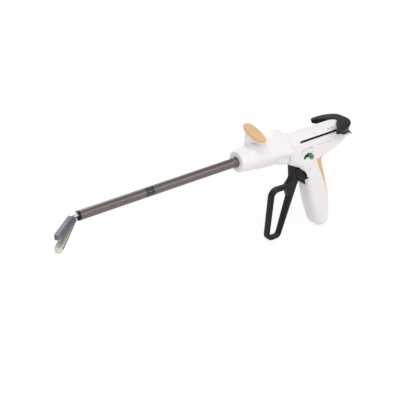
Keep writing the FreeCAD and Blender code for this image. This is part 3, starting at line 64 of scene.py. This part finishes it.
# Colour and node helpers
def linear(code: str) -> tuple[float, float, float, float]:
    """Turns an sRGB hex colour into the linear colour that a shader takes.

    Args:
        code: a colour such as "#e4dfe0".

    Returns:
        Linear red, green, blue and an alpha of 1.
    """
    parts = [int(code[i:i + 2], 16) / 255 for i in (1, 3, 5)]
    curve = [p / 12.92 if p <= 0.04045 else ((p + 0.055) / 1.055) ** 2.4 for p in parts]
    return curve[0], curve[1], curve[2], 1.0


def add_node(tree: bpy.types.NodeTree, kind: str, settings: dict[str, Any] | None = None,
             links: dict[Any, Any] | None = None) -> bpy.types.Node:
    """Adds one node with its settings and its incoming links.

    Args:
        tree: the node tree that gets it.
        kind: the node's type name.
        settings: node attributes by name, or socket values by "#name" or "#index".
        links: output sockets by the name or index of the input that each feeds.

    Returns:
        The new node.
    """
    node = tree.nodes.new(kind)
    for name, value in (settings or {}).items():
        if name.startswith("#"):
            key = name[1:]
            node.inputs[int(key) if key.isdigit() else key].default_value = value
        else:
            setattr(node, name, value)
    for name, source in (links or {}).items():
        tree.links.new(source, node.inputs[name])
    return node


def ramp(tree: bpy.types.NodeTree, source: bpy.types.NodeSocket,
         stops: Iterable[tuple[float, tuple[float, float, float, float]]]) -> bpy.types.NodeSocket:
    """Maps a factor to colours.

    Args:
        tree: the node tree.
        source: the socket that gives the factor.
        stops: (place, linear colour) pairs in rising order.

    Returns:
        The colour socket.
    """
    node = add_node(tree, "ShaderNodeValToRGB", links={0: source})
    bar = node.color_ramp
    places = list(stops)
    while len(bar.elements) < len(places):
        bar.elements.new(0.5)
    for element, (place, colour) in zip(bar.elements, places):
        element.position = place
        element.color = colour
    return node.outputs["Color"]


def shade(code: str, factor: float) -> tuple[float, float, float, float]:
    """A hex colour made darker or lighter by a factor, in linear light."""
    r, g, b, a = linear(code)
    return min(r * factor, 1.0), min(g * factor, 1.0), min(b * factor, 1.0), a


# Finishes
@dataclass(frozen=True)
class Finish:
    """What every finish has: its name, the record's slot and its base colour.

    The pattern is a fine texture for bump and a broad, faint change of tone.
    """

    name: str
    slot: str
    colour: str
    rough: float = 0.5
    metal: float = 0.0
    ior: float = 1.5
    coat: float = 0.0
    grain_mm: float = 0.8
    grain_height_mm: float = 0.01
    tone_mm: float = 30.0
    tone: float = 0.04
    rough_swing: float = 0.06

    def pattern(self, tree: bpy.types.NodeTree, coords: bpy.types.NodeSocket) -> tuple[Any, Any]:
        """Fine texture height and the broad tone factor.

        Args:
            tree: the material's tree.
            coords: object coordinates in metres.

        Returns:
            (height socket, tone socket), each from 0 to 1.
        """
        fine = add_node(tree, "ShaderNodeTexNoise", {"#Scale": 1 / (self.grain_mm * MM), "#Detail": 2.0,
                                                     "#Roughness": 0.6}, {"Vector": coords})
        broad = add_node(tree, "ShaderNodeTexNoise", {"#Scale": 1 / (self.tone_mm * MM), "#Detail": 3.0},
                         {"Vector": coords})
        return fine.outputs["Fac"], broad.outputs["Fac"]

    def build(self) -> bpy.types.Material:
        """Makes the material.

        Returns:
            A material whose colour, roughness and bump come from its nodes.
        """
        material = bpy.data.materials.new(self.name)
        material.use_nodes = True
        tree = material.node_tree
        shader = tree.nodes["Principled BSDF"]
        for socket, value in (("Metallic", self.metal), ("IOR", self.ior), ("Coat Weight", self.coat),
                              ("Coat Roughness", 0.12)):
            shader.inputs[socket].default_value = value
        coords = add_node(tree, "ShaderNodeTexCoord").outputs["Object"]
        height, tone = self.pattern(tree, coords)
        colour = ramp(tree, tone, ((0.3, shade(self.colour, 1 - self.tone)), (0.7, shade(self.colour, 1 + self.tone))))
        tree.links.new(colour, shader.inputs["Base Color"])
        rough = add_node(tree, "ShaderNodeMapRange", {"#To Min": self.rough - self.rough_swing,
                                                      "#To Max": self.rough + self.rough_swing}, {"Value": height})
        tree.links.new(rough.outputs["Result"], shader.inputs["Roughness"])
        bump = add_node(tree, "ShaderNodeBump", {"#Strength": 1.0, "#Distance": self.grain_height_mm * MM},
                        {"Height": height})
        tree.links.new(bump.outputs["Normal"], shader.inputs["Normal"])
        self.finish(tree, shader, coords)
        return material

    def finish(self, tree: bpy.types.NodeTree, shader: bpy.types.Node, coords: bpy.types.NodeSocket) -> None:
        """Last touches of one kind of finish; none here."""


@dataclass(frozen=True)
class BrushedMetal(Finish):
    """Drawn or ground metal: the texture is stretched round the shaft or along a jaw."""

    stretch: tuple[float, float, float] = (1.0, 0.06, 0.06)
    turn_deg: float = 0.0

    def pattern(self, tree: bpy.types.NodeTree, coords: bpy.types.NodeSocket) -> tuple[Any, Any]:
        """Streaks: the noise's coordinates are squeezed along the lines of the brushing."""
        place = add_node(tree, "ShaderNodeMapping", {"#Rotation": (0.0, 0.0, math.radians(self.turn_deg)),
                                                     "#Scale": self.stretch}, {"Vector": coords})
        fine = add_node(tree, "ShaderNodeTexNoise", {"#Scale": 1 / (self.grain_mm * MM), "#Detail": 3.0,
                                                     "#Roughness": 0.7}, {"Vector": place.outputs["Vector"]})
        broad = add_node(tree, "ShaderNodeTexNoise", {"#Scale": 1 / (self.tone_mm * MM), "#Detail": 2.0},
                         {"Vector": coords})
        return fine.outputs["Fac"], broad.outputs["Fac"]


# ABS, injection moulded in a finely spark-eroded tool: white with a faint warm tint, a soft
# satin sheen and an even pebble too fine to count (0.3 mm in life, drawn 0.7 mm)
WHITE_ABS = Finish("moulded_white_abs", "white_plastic", "#e0dbdb", rough=0.44, grain_mm=0.7,
                   grain_height_mm=0.006, tone=0.015, rough_swing=0.05)
# TPE overmoulding: matt, faintly rubbery tan that scatters a little light
TAN_TPE = Finish("overmoulded_tan_elastomer", "tan_elastomer", "#cfa877", rough=0.62, grain_mm=0.6,
                 grain_height_mm=0.015, tone=0.03)
# Glass-filled nylon, moulded: near black with a dull sheen and a coarse fibre-marked skin
BLACK_NYLON = Finish("moulded_black_nylon", "black_plastic", "#0b0a0c", rough=0.5, ior=1.36, grain_mm=0.9,
                     grain_height_mm=0.01, tone=0.12, rough_swing=0.07)
# ABS, highly polished tool: the bright green of a safety control
GREEN_ABS = Finish("polished_green_abs", "green_plastic", "#06703c", rough=0.22, coat=0.3, grain_mm=1.2,
                   grain_height_mm=0.002, tone=0.03)
# Stainless steel tube, ground round its length and dark-coated: brownish grey with fine rings
SHAFT_STEEL = BrushedMetal("ground_coated_tube", "shaft_steel", "#6f6563", rough=0.33, metal=0.85,
                           grain_mm=0.5, grain_height_mm=0.004, tone=0.06, rough_swing=0.08,
                           stretch=(1.0, 0.05, 0.05))
# Printed polyester sleeve: blue-black and slightly glossy
BAND_INK = Finish("printed_band_ink", "band_print", "#121424", rough=0.35, coat=0.2, grain_mm=1.0,
                  grain_height_mm=0.002, tone=0.1)
# Stainless steel, stamped and tumbled: soft grey with fine lines along the jaw
JAW_STEEL = BrushedMetal("tumbled_jaw_steel", "jaw_steel", "#77727c", rough=0.48, metal=0.9, grain_mm=0.4,
                         grain_height_mm=0.004, tone=0.05, stretch=(0.08, 1.0, 1.0), turn_deg=-38.0)
# Liquid-crystal polymer, moulded: cream with a green cast and flow marks
CARTRIDGE_LCP = Finish("moulded_cream_cartridge", "cartridge_plastic", "#cfcdb5", rough=0.5, grain_mm=0.9,
                       grain_height_mm=0.006, tone=0.04, tone_mm=6.0)
# The same polymer without pigment: cool pale grey
NOSE_LCP = Finish("moulded_pale_nose", "nose_plastic", "#c6c9c0", rough=0.48, grain_mm=0.9,
                  grain_height_mm=0.006, tone=0.03, tone_mm=6.0)
# Stainless steel, turned and deburred: bright with round tool lines
JOINT_STEEL = BrushedMetal("turned_joint_steel", "joint_steel", "#b9b9bc", rough=0.28, metal=1.0, grain_mm=0.4,
                           grain_height_mm=0.003, tone=0.04, stretch=(1.0, 1.0, 0.1))
# Carbon steel, machined: duller than the joint's, with cutter marks across
DRIVE_STEEL = BrushedMetal("machined_drive_steel", "drive_steel", "#9c9ca0", rough=0.34, metal=1.0, grain_mm=0.6,
                           grain_height_mm=0.005, tone=0.05, stretch=(1.0, 0.1, 1.0))
# Pad-printed ink on the white housing: mid grey, flat
PRINT_GREY = Finish("printed_grey_ink", "white_plastic", "#8b878c", rough=0.55, grain_mm=0.5,
                    grain_height_mm=0.002, tone=0.06)
# Pad-printed ink on the dark band: off-white, flat
PRINT_PALE = Finish("printed_pale_ink", "band_print", "#c9ccd4", rough=0.5, grain_mm=0.5,
                    grain_height_mm=0.002, tone=0.05)
# Unlit gap between the housing's mouldings
SHADOW_GAP = Finish("shadow_gap_grey", "white_plastic", "#6f6b6e", rough=0.8, grain_mm=0.8,
                    grain_height_mm=0.004, tone=0.05)
# Titanium wire, drawn: dark bright specks in the cartridge's pockets
STAPLE_TITANIUM = BrushedMetal("drawn_titanium_wire", "joint_steel", "#8f8d90", rough=0.3, metal=1.0, grain_mm=0.3,
                               grain_height_mm=0.001, tone=0.05, stretch=(1.0, 1.0, 1.0))
FINISHES = (WHITE_ABS, TAN_TPE, BLACK_NYLON, GREEN_ABS, SHAFT_STEEL, BAND_INK, JAW_STEEL, CARTRIDGE_LCP, NOSE_LCP,
            JOINT_STEEL, DRIVE_STEEL, PRINT_GREY, PRINT_PALE, SHADOW_GAP, STAPLE_TITANIUM)


class Wardrobe:
    """The finishes' materials, each built once."""

    def __init__(self) -> None:
        """Builds every material."""
        self.made = {finish.name: finish.build() for finish in FINISHES}
        self.by_slot = {finish.slot: self.made[finish.name] for finish in reversed(FINISHES)
                        if finish not in (PRINT_GREY, PRINT_PALE, SHADOW_GAP, STAPLE_TITANIUM)}

    def put(self, thing: bpy.types.Object, finish: Finish) -> None:
        """Gives an object one material in its only slot."""
        thing.data.materials.clear()
        thing.data.materials.append(self.made[finish.name])

    def dress_frame(self) -> None:
        """Gives each CAD node the finish of its slot in the record."""
        for entry in FRAME["record"]["subparts"]:
            node = FRAME["nodes"][entry["node"]]
            material = self.by_slot[entry["material_slot"]]
            for place in node.material_slots:
                place.material = material


# Meshes
class Wrap(Enum):
    """How a grid closes: not at all, or in its second parameter."""

    OPEN = 0
    AROUND = 1


def grid_faces(rows: int, columns: int, wrap: Wrap) -> Array:
    """Quads of a grid whose point (i, j) has the index i * columns + j.

    Args:
        rows: points along the first parameter.
        columns: points along the second.
        wrap: which ways the grid closes.

    Returns:
        An (n, 4) array of point indices, wound so that first x second points out.
    """
    across = columns if wrap is not Wrap.OPEN else columns - 1
    i, j = np.meshgrid(np.arange(rows - 1), np.arange(across), indexing="ij")
    i, j = i.ravel(), j.ravel()
    i2, j2 = i + 1, (j + 1) % columns
    return np.stack([i * columns + j, i2 * columns + j, i2 * columns + j2, i * columns + j2], axis=1)


def put_mesh(name: str, points: Array, faces: Array | list[list[int]]) -> bpy.types.Object:
    """Puts points and faces into a new smooth object at the origin."""
    mesh = bpy.data.meshes.new(name)
    mesh.from_pydata(points.reshape(-1, 3).tolist(), [], faces.tolist() if isinstance(faces, np.ndarray) else faces)
    mesh.validate()
    mesh.shade_smooth()
    thing = bpy.data.objects.new(name, mesh)
    bpy.context.scene.collection.objects.link(thing)
    return thing


def smooth_by_angle(thing: bpy.types.Object, degrees: float) -> None:
    """Shades smooth across edges flatter than an angle and sharp elsewhere."""
    form = bmesh.new()
    form.from_mesh(thing.data)
    limit = math.radians(degrees)
    for face in form.faces:
        face.smooth = True
    for edge in form.edges:
        edge.smooth = not (edge.is_manifold and edge.calc_face_angle(0.0) > limit)
    form.to_mesh(thing.data)
    form.free()


class Body(Enum):
    """The moving bodies that pieces ride on."""

    HANDLE = "handle"
    TRIGGER = "trigger"
    CARRIAGE = "carriage"
    SELECTOR = "selector"
    SHAFT = "shaft"
    LEVER = "lever"
    UNIT = "loading_unit"
    TOOL = "tool"
    CARTRIDGE = "cartridge_jaw"
    KNIFE = "knife"


def settle(thing: bpy.types.Object, body: Body, finish: Finish, wardrobe: Wardrobe,
           replaced: tuple[str, ...] = ()) -> bpy.types.Object:
    """Dresses a finished piece and sets it on its body."""
    wardrobe.put(thing, finish)
    if replaced:
        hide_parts(*replaced)
    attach(thing, body.value)
    return thing


def eased_copy(node: str, name: str, width_mm: float, angle: float = 28.0, segments: int = 2) -> bpy.types.Object:
    """A merged copy of a CAD node with its sharp edges eased, as a mould or a deburring leaves them.

    Args:
        node: the CAD node.
        name: the copy's name.
        width_mm: the width of the easing.
        angle: edges sharper than this many degrees are eased.
        segments: the steps across each eased edge.

    Returns:
        The new object, its place in its mesh.
    """
    mesh = FRAME["nodes"][node].data.copy()
    mesh.name = name
    thing = bpy.data.objects.new(name, mesh)
    bpy.context.scene.collection.objects.link(thing)
    form = bmesh.new()
    form.from_mesh(mesh)
    bmesh.ops.remove_doubles(form, verts=form.verts, dist=MERGE_DISTANCE)
    bmesh.ops.dissolve_limit(form, angle_limit=math.radians(FLAT_ANGLE), verts=form.verts, edges=form.edges)
    limit = math.radians(angle)
    sharp = [e for e in form.edges if e.is_manifold and e.calc_face_angle(0.0) > limit]
    bmesh.ops.bevel(form, geom=sharp, offset=width_mm * MM, offset_type="OFFSET", segments=segments,
                    profile=0.6, affect="EDGES", clamp_overlap=True)
    bmesh.ops.triangulate(form, faces=[f for f in form.faces if len(f.verts) > 4])
    for face in form.faces:
        face.smooth = True
    for edge in form.edges:
        edge.smooth = not (edge.is_manifold and edge.calc_face_angle(0.0) > math.radians(CREASE_ANGLE))
    form.to_mesh(mesh)
    form.free()
    return thing


# Stage
@dataclass(frozen=True)
class Studio:
    """Camera, lamps and floor. The camera stands where the photograph was taken from."""

    lens_mm: float = 118.2
    place: tuple[float, float, float] = (-0.9404, -1.1623, 0.68984)
    right: tuple[float, float, float] = (0.7907659, -0.6120047, -0.0118125)
    up: tuple[float, float, float] = (0.2801517, 0.3446888, 0.8959379)
    back: tuple[float, float, float] = (-0.5442465, -0.7117864, 0.4440223)
    floor_z: float = -0.1316

    def build(self) -> None:
        """Makes the camera, the lamps, the world and the floor."""
        data = bpy.data.cameras.new("photo_camera")
        data.lens, data.sensor_width = self.lens_mm, 36.0
        data.clip_start, data.clip_end = 0.05, 30.0
        camera = bpy.data.objects.new("photo_camera", data)
        bpy.context.scene.collection.objects.link(camera)
        turn = Matrix((self.right, self.up, self.back)).transposed().to_4x4()
        camera.matrix_world = Matrix.Translation(Vector(self.place)) @ turn
        bpy.context.scene.camera = camera
        self.lamp("key_softbox", (-0.55, -0.75, 1.35), 0.9, 13.0)
        self.lamp("fill_softbox", (0.7, -1.1, 0.7), 1.0, 5.0)
        self.lamp("rim_softbox", (0.3, 1.1, 0.9), 0.8, 6.0)
        self.world()
        self.floor()
        bpy.context.scene.view_settings.view_transform = "Standard"

    def lamp(self, name: str, place: tuple[float, float, float], size: float, watts: float) -> None:
        """A square soft lamp aimed at the middle of the instrument."""
        data = bpy.data.lights.new(name, "AREA")
        data.energy, data.size = watts, size
        thing = bpy.data.objects.new(name, data)
        bpy.context.scene.collection.objects.link(thing)
        aim = Vector((-0.02, 0.0, -0.02)) - Vector(place)
        thing.matrix_world = Matrix.Translation(Vector(place)) @ aim.to_track_quat("-Z", "Y").to_matrix().to_4x4()

    def world(self) -> None:
        """Even pale surroundings: white to the eye and through transparent things, softer as light and in reflections.
        """
        world = bpy.data.worlds.new("white_surround")
        bpy.context.scene.world = world
        world.use_nodes = True
        tree = world.node_tree
        rays = add_node(tree, "ShaderNodeLightPath")
        seen = add_node(tree, "ShaderNodeMath", {"operation": "MAXIMUM"},
                        {0: rays.outputs["Is Camera Ray"], 1: rays.outputs["Is Transmission Ray"]})
        strength = add_node(tree, "ShaderNodeMapRange", {"#To Min": 0.62, "#To Max": 1.0},
                            {"Value": seen.outputs[0]})
        back = tree.nodes["Background"]
        back.inputs["Color"].default_value = (1.0, 1.0, 1.0, 1.0)
        tree.links.new(strength.outputs["Result"], back.inputs["Strength"])

    def floor(self) -> None:
        """A pale floor that shows white and keeps a faint shadow of the instrument."""
        size = 12.0
        corners = np.array([(-size, -size, self.floor_z), (size, -size, self.floor_z),
                            (size, size, self.floor_z), (-size, size, self.floor_z)])
        thing = put_mesh("studio_floor", corners, [[0, 1, 2, 3]])
        material = bpy.data.materials.new("white_floor")
        material.use_nodes = True
        tree = material.node_tree
        shader = tree.nodes["Principled BSDF"]
        shader.inputs["Base Color"].default_value = linear("#f4f4f4")
        shader.inputs["Roughness"].default_value = 0.9
        rays = add_node(tree, "ShaderNodeLightPath")
        white = add_node(tree, "ShaderNodeEmission", {"#Strength": 1.0})
        part = add_node(tree, "ShaderNodeMath", {"operation": "MULTIPLY", "#1": 0.88},
                        {0: rays.outputs["Is Camera Ray"]})
        mix = add_node(tree, "ShaderNodeMixShader", links={0: part.outputs[0], 1: shader.outputs["BSDF"],
                                                           2: white.outputs["Emission"]})
        tree.links.new(mix.outputs["Shader"], tree.nodes["Material Output"].inputs["Surface"])
        thing.data.materials.append(material)


# Sub-assemblies
@dataclass
class EasedNodes:
    """CAD nodes whose shape is right, shown with eased edges: node -> (body, finish, width in mm)."""

    wardrobe: Wardrobe
    pieces: dict[str, tuple[Body, Finish, float]] = field(default_factory=lambda: {
        "left_handle_shell": (Body.HANDLE, WHITE_ABS, 0.35),
        "right_handle_shell": (Body.HANDLE, WHITE_ABS, 0.35),
        "grip_backstrap": (Body.HANDLE, TAN_TPE, 0.3),
        "firing_trigger": (Body.TRIGGER, BLACK_NYLON, 0.3),
        "selector_knob": (Body.SELECTOR, GREEN_ABS, 0.35),
        "rotation_collar": (Body.SHAFT, WHITE_ABS, 0.5),
        "nose_ferrule": (Body.SHAFT, SHAFT_STEEL, 0.25),
        "articulation_lever": (Body.LEVER, WHITE_ABS, 0.4),
        "lever_pad": (Body.LEVER, TAN_TPE, 0.3),
        "retraction_saddle": (Body.CARRIAGE, BLACK_NYLON, 0.5),
        "anvil": (Body.TOOL, JAW_STEEL, 0.15),
        "tool_knuckle": (Body.TOOL, JOINT_STEEL, 0.15),
        "mounting_knuckle": (Body.UNIT, JOINT_STEEL, 0.15),
        "boot_ring": (Body.UNIT, BLACK_NYLON, 0.2),
        "cartridge_channel": (Body.CARTRIDGE, JAW_STEEL, 0.15),
        "staple_cartridge": (Body.CARTRIDGE, CARTRIDGE_LCP, 0.12),
        "cartridge_nose": (Body.CARTRIDGE, NOSE_LCP, 0.3),
    })

    def build(self) -> list[bpy.types.Object]:
        """Makes every eased copy.

        Returns:
            The new pieces.
        """
        made = []
        for node, (body, finish, width) in self.pieces.items():
            thing = eased_copy(node, f"{node}_eased", width)
            made.append(settle(thing, body, finish, self.wardrobe, (node,)))
        return made


# Printing and small detail
def side_reach(height: Array) -> Array:
    """Half width of the handle's side face at heights, both in millimetres."""
    crown = 3.5 + np.sqrt(np.clip(10.5 ** 2 - (height - 1.3) ** 2, 0.0, None))
    belly = np.maximum(13.4, 10.0 + np.sqrt(np.clip(16.0 - (height + 6.0) ** 2, 0.0, None)))
    return np.where(height >= 1.3, crown, np.where(height >= -6.0, 14.0, belly))


def ribbon(path: Array, width: float, across: Callable[[Array, float], Array], depth: float = 0.25,
           lift: float = 0.03) -> tuple[Array, Array]:
    """A thin raised line that lies on a surface.

    Args:
        path: an (n, 2) line in the surface's own two coordinates, in millimetres.
        width: the line's width.
        across: turns (n, 2) coordinates and a height over the surface into (n, 3) points.
        depth: how far the line reaches into the surface.
        lift: how far it stands out.

    Returns:
        (points in millimetres, faces) of one closed strip.
    """
    step = np.gradient(path, axis=0)
    normal = np.stack([-step[:, 1], step[:, 0]], axis=1) / np.linalg.norm(step, axis=1, keepdims=True)
    left, right = path + normal * width / 2, path - normal * width / 2
    rows = [across(left, -depth), across(left, lift), across(right, lift), across(right, -depth)]
    points = np.stack(rows, axis=1).reshape(-1, 3)
    last = len(points) - 4
    caps = np.array([[3, 2, 1, 0], [last, last + 1, last + 2, last + 3]])
    return points, np.vstack([grid_faces(len(path), 4, Wrap.AROUND), caps])


def joined(parts: Iterable[tuple[Array, Array]]) -> tuple[Array, Array]:
    """Puts several (points, faces) together as one."""
    points, faces, count = [], [], 0
    for some_points, some_faces in parts:
        points.append(some_points)
        faces.append(some_faces + count)
        count += len(some_points)
    return np.vstack(points), np.vstack(faces)


def boxes(centres: Array, half: Array) -> tuple[Array, Array]:
    """Many equal boxes at once.

    Args:
        centres: an (n, 3) array.
        half: the three half sizes.

    Returns:
        (points, faces) of all the boxes.
    """
    signs = np.array([(x, y, z) for x in (-1, 1) for y in (-1, 1) for z in (-1, 1)], float)
    sides = np.array([[0, 1, 3, 2], [4, 6, 7, 5], [0, 4, 5, 1], [2, 3, 7, 6], [0, 2, 6, 4], [1, 5, 7, 3]])
    points = centres[:, None, :] + signs[None] * half
    faces = sides[None] + 8 * np.arange(len(centres))[:, None, None]
    return points.reshape(-1, 3), faces.reshape(-1, 4)


def arc(centre: tuple[float, float], radius: float, start: float, end: float, count: int = 24) -> Array:
    """Points of an arc in a plane, its angles in degrees."""
    angle = np.radians(np.linspace(start, end, count))
    return np.stack([centre[0] + radius * np.cos(angle), centre[1] + radius * np.sin(angle)], axis=1)


@dataclass
class HousingPrints:
    """Generic position numbers, arrow and arc printed on the left side of the handle, and painted shade in dark grey
    along a housing seam, round a ring and at two dots.
    """

    wardrobe: Wardrobe
    row_height: float = 9.0
    number_places: tuple[float, ...] = (114.3, 129.0, 143.6)
    number_size: tuple[float, float] = (1.1, 1.9)
    stroke: float = 0.36
    selector_centre: tuple[float, float] = (116.5, -23.8)
    strokes: dict[int, tuple[tuple[float, float], ...]] = field(default_factory=lambda: {
        1: ((0.1, 0.75), (0.5, 1.0), (0.5, 0.0)),
        2: ((0.0, 0.85), (0.5, 1.0), (1.0, 0.75), (0.6, 0.4), (0.0, 0.0), (1.0, 0.0)),
        3: ((0.0, 1.0), (1.0, 1.0), (0.45, 0.6), (1.0, 0.35), (0.6, 0.0), (0.0, 0.1)),
    })

    @staticmethod
    def on_side(place: Array, height: float) -> Array:
        """Points over the left side face, for a ribbon."""
        return np.stack([place[:, 0], -(side_reach(place[:, 1]) + height), place[:, 1]], axis=1)

    def line(self, path: Any, width: float | None = None) -> tuple[Array, Array]:
        """A ribbon of the prints' own width on the side face."""
        return ribbon(np.asarray(path, float), width or self.stroke, self.on_side)

    def build(self) -> list[bpy.types.Object]:
        """Makes the printed marks and the painted shade of the housing's seam, ring and two dots.

        Returns:
            The two pieces.
        """
        wide, tall = self.number_size
        ink = []
        for number, place in enumerate(self.number_places, start=1):
            shape = np.array(self.strokes[number]) - (0.5, 0.5)
            ink.append(self.line(shape * (wide, tall) + (place, self.row_height)))
        ink.append(self.line([(151.0, self.row_height), (162.5, self.row_height)], 0.45))
        ink.append(self.line([(153.4, self.row_height + 1.0), (150.6, self.row_height),
                              (153.4, self.row_height - 1.0)], 0.45))
        ink.append(self.line(arc(self.selector_centre, 16.6, 72.0, 138.0), 0.75))
        ink.append(self.line(arc(self.selector_centre, 16.6, 64.0, 76.0, 8), 1.5))
        # painted shade: dark grey seam line, ring and two dots where the housing's moulding falls in shade
        painted_shade_marks = [self.line(np.stack([np.linspace(133.0, 160.0, 20), np.full(20, -7.2)], axis=1), 0.3),
                   self.line(arc((119.7, -38.9), 1.9, 0.0, 360.0, 28), 0.3),
                   self.line([(162.6, -5.9), (164.0, -5.9)], 1.2), self.line([(168.6, -8.0), (169.9, -8.0)], 1.1)]
        made = []
        for name, parts, finish in (("housing_prints", ink, PRINT_GREY), ("moulding_marks_painted_shade", painted_shade_marks, SHADOW_GAP)):
            points, faces = joined(parts)
            thing = put_mesh(name, points * MM, faces)
            smooth_by_angle(thing, 30.0)
            made.append(settle(thing, Body.HANDLE, finish, self.wardrobe))
        return made


@dataclass
class BandMarks:
    """Generic pale ticks printed round the dark band of the loading unit."""

    wardrobe: Wardrobe
    rear: float = -124.2
    width: float = 11.2
    radius: float = 6.0
    tick_angles: tuple[float, ...] = (-150.0, -120.0, -90.0, -60.0, -30.0, 0.0, 30.0)
    tick_reach: float = 2.4
    tick_width: float = 0.7

    def on_band(self, place: Array, height: float) -> Array:
        """Points round the band: the coordinates are x and the arc length from the top."""
        angle = place[:, 1] / self.radius
        reach = self.radius + min(height, 0.0)
        return np.stack([place[:, 0], reach * np.sin(angle), reach * np.cos(angle)], axis=1)

    def build(self) -> list[bpy.types.Object]:
        """Makes the ticks as one piece.

        Returns:
            The piece.
        """
        middle = self.rear - self.width / 2
        parts = []
        for angle in self.tick_angles:
            arc_at = math.radians(angle) * self.radius
            path = np.array([(middle - self.tick_reach, arc_at), (middle + self.tick_reach, arc_at)])
            parts.append(ribbon(path, self.tick_width, self.on_band, depth=0.2))
        points, faces = joined(parts)
        thing = put_mesh("band_ticks", points * MM, faces)
        return [settle(thing, Body.UNIT, PRINT_PALE, self.wardrobe)]


@dataclass
class Staples:
    """Titanium staples that show at the mouths of the cartridge's pockets."""

    wardrobe: Wardrobe
    pivot_x: float = -236.0
    bend_deg: float = 38.0
    open_deg: float = 16.0
    hinge: tuple[float, float] = (-10.2, -1.5)
    first: float = -17.2
    pitch: float = 3.6
    length: float = 2.6
    count: int = 10
    row_inner: float = 1.35
    row_pitch: float = 1.1
    face: float = -0.55

    def placed(self, points: Array) -> Array:
        """Sets points of the straight, closed jaw where the open, bent jaw has them."""
        swing, bend = math.radians(-self.open_deg), math.radians(self.bend_deg)
        x, z = points[:, 0] - self.hinge[0], points[:, 2] - self.hinge[1]
        x, z = (x * math.cos(swing) + z * math.sin(swing) + self.hinge[0],
                -x * math.sin(swing) + z * math.cos(swing) + self.hinge[1])
        y = points[:, 1]
        return np.stack([x * math.cos(bend) - y * math.sin(bend) + self.pivot_x,
                         x * math.sin(bend) + y * math.cos(bend), z], axis=1)

    def build(self) -> list[bpy.types.Object]:
        """Makes every staple's crown as one piece.

        Returns:
            The piece.
        """
        row, side, i = (a.ravel() for a in np.meshgrid(np.arange(3), np.array([-1.0, 1.0]), np.arange(self.count),
                                                       indexing="ij"))
        x = self.first - i * self.pitch - np.where(row == 1, 0.5 * self.pitch, 0.0) - self.length / 2
        y = side * (self.row_inner + row * self.row_pitch)
        centres = np.stack([x, y, np.full(len(x), self.face - 0.45)], axis=1)
        points, faces = boxes(centres, np.array([self.length / 2 - 0.12, 0.13, 0.15]))
        thing = put_mesh("staple_crowns", self.placed(points) * MM, faces)
        smooth_by_angle(thing, 30.0)
        return [settle(thing, Body.CARTRIDGE, STAPLE_TITANIUM, self.wardrobe)]


def main() -> None:
    """Builds the stage and every sub-assembly in order."""
    logging.basicConfig(level=logging.INFO, format="%(name)s: %(message)s")
    wardrobe = Wardrobe()
    Studio().build()
    wardrobe.dress_frame()
    for assembly in (EasedNodes(wardrobe), HousingPrints(wardrobe), BandMarks(wardrobe), Staples(wardrobe)):
        for thing in assembly.build():
            LOG.info("%s: %d faces", thing.name, len(thing.data.polygons))


if __name__ == "__main__":
    main()
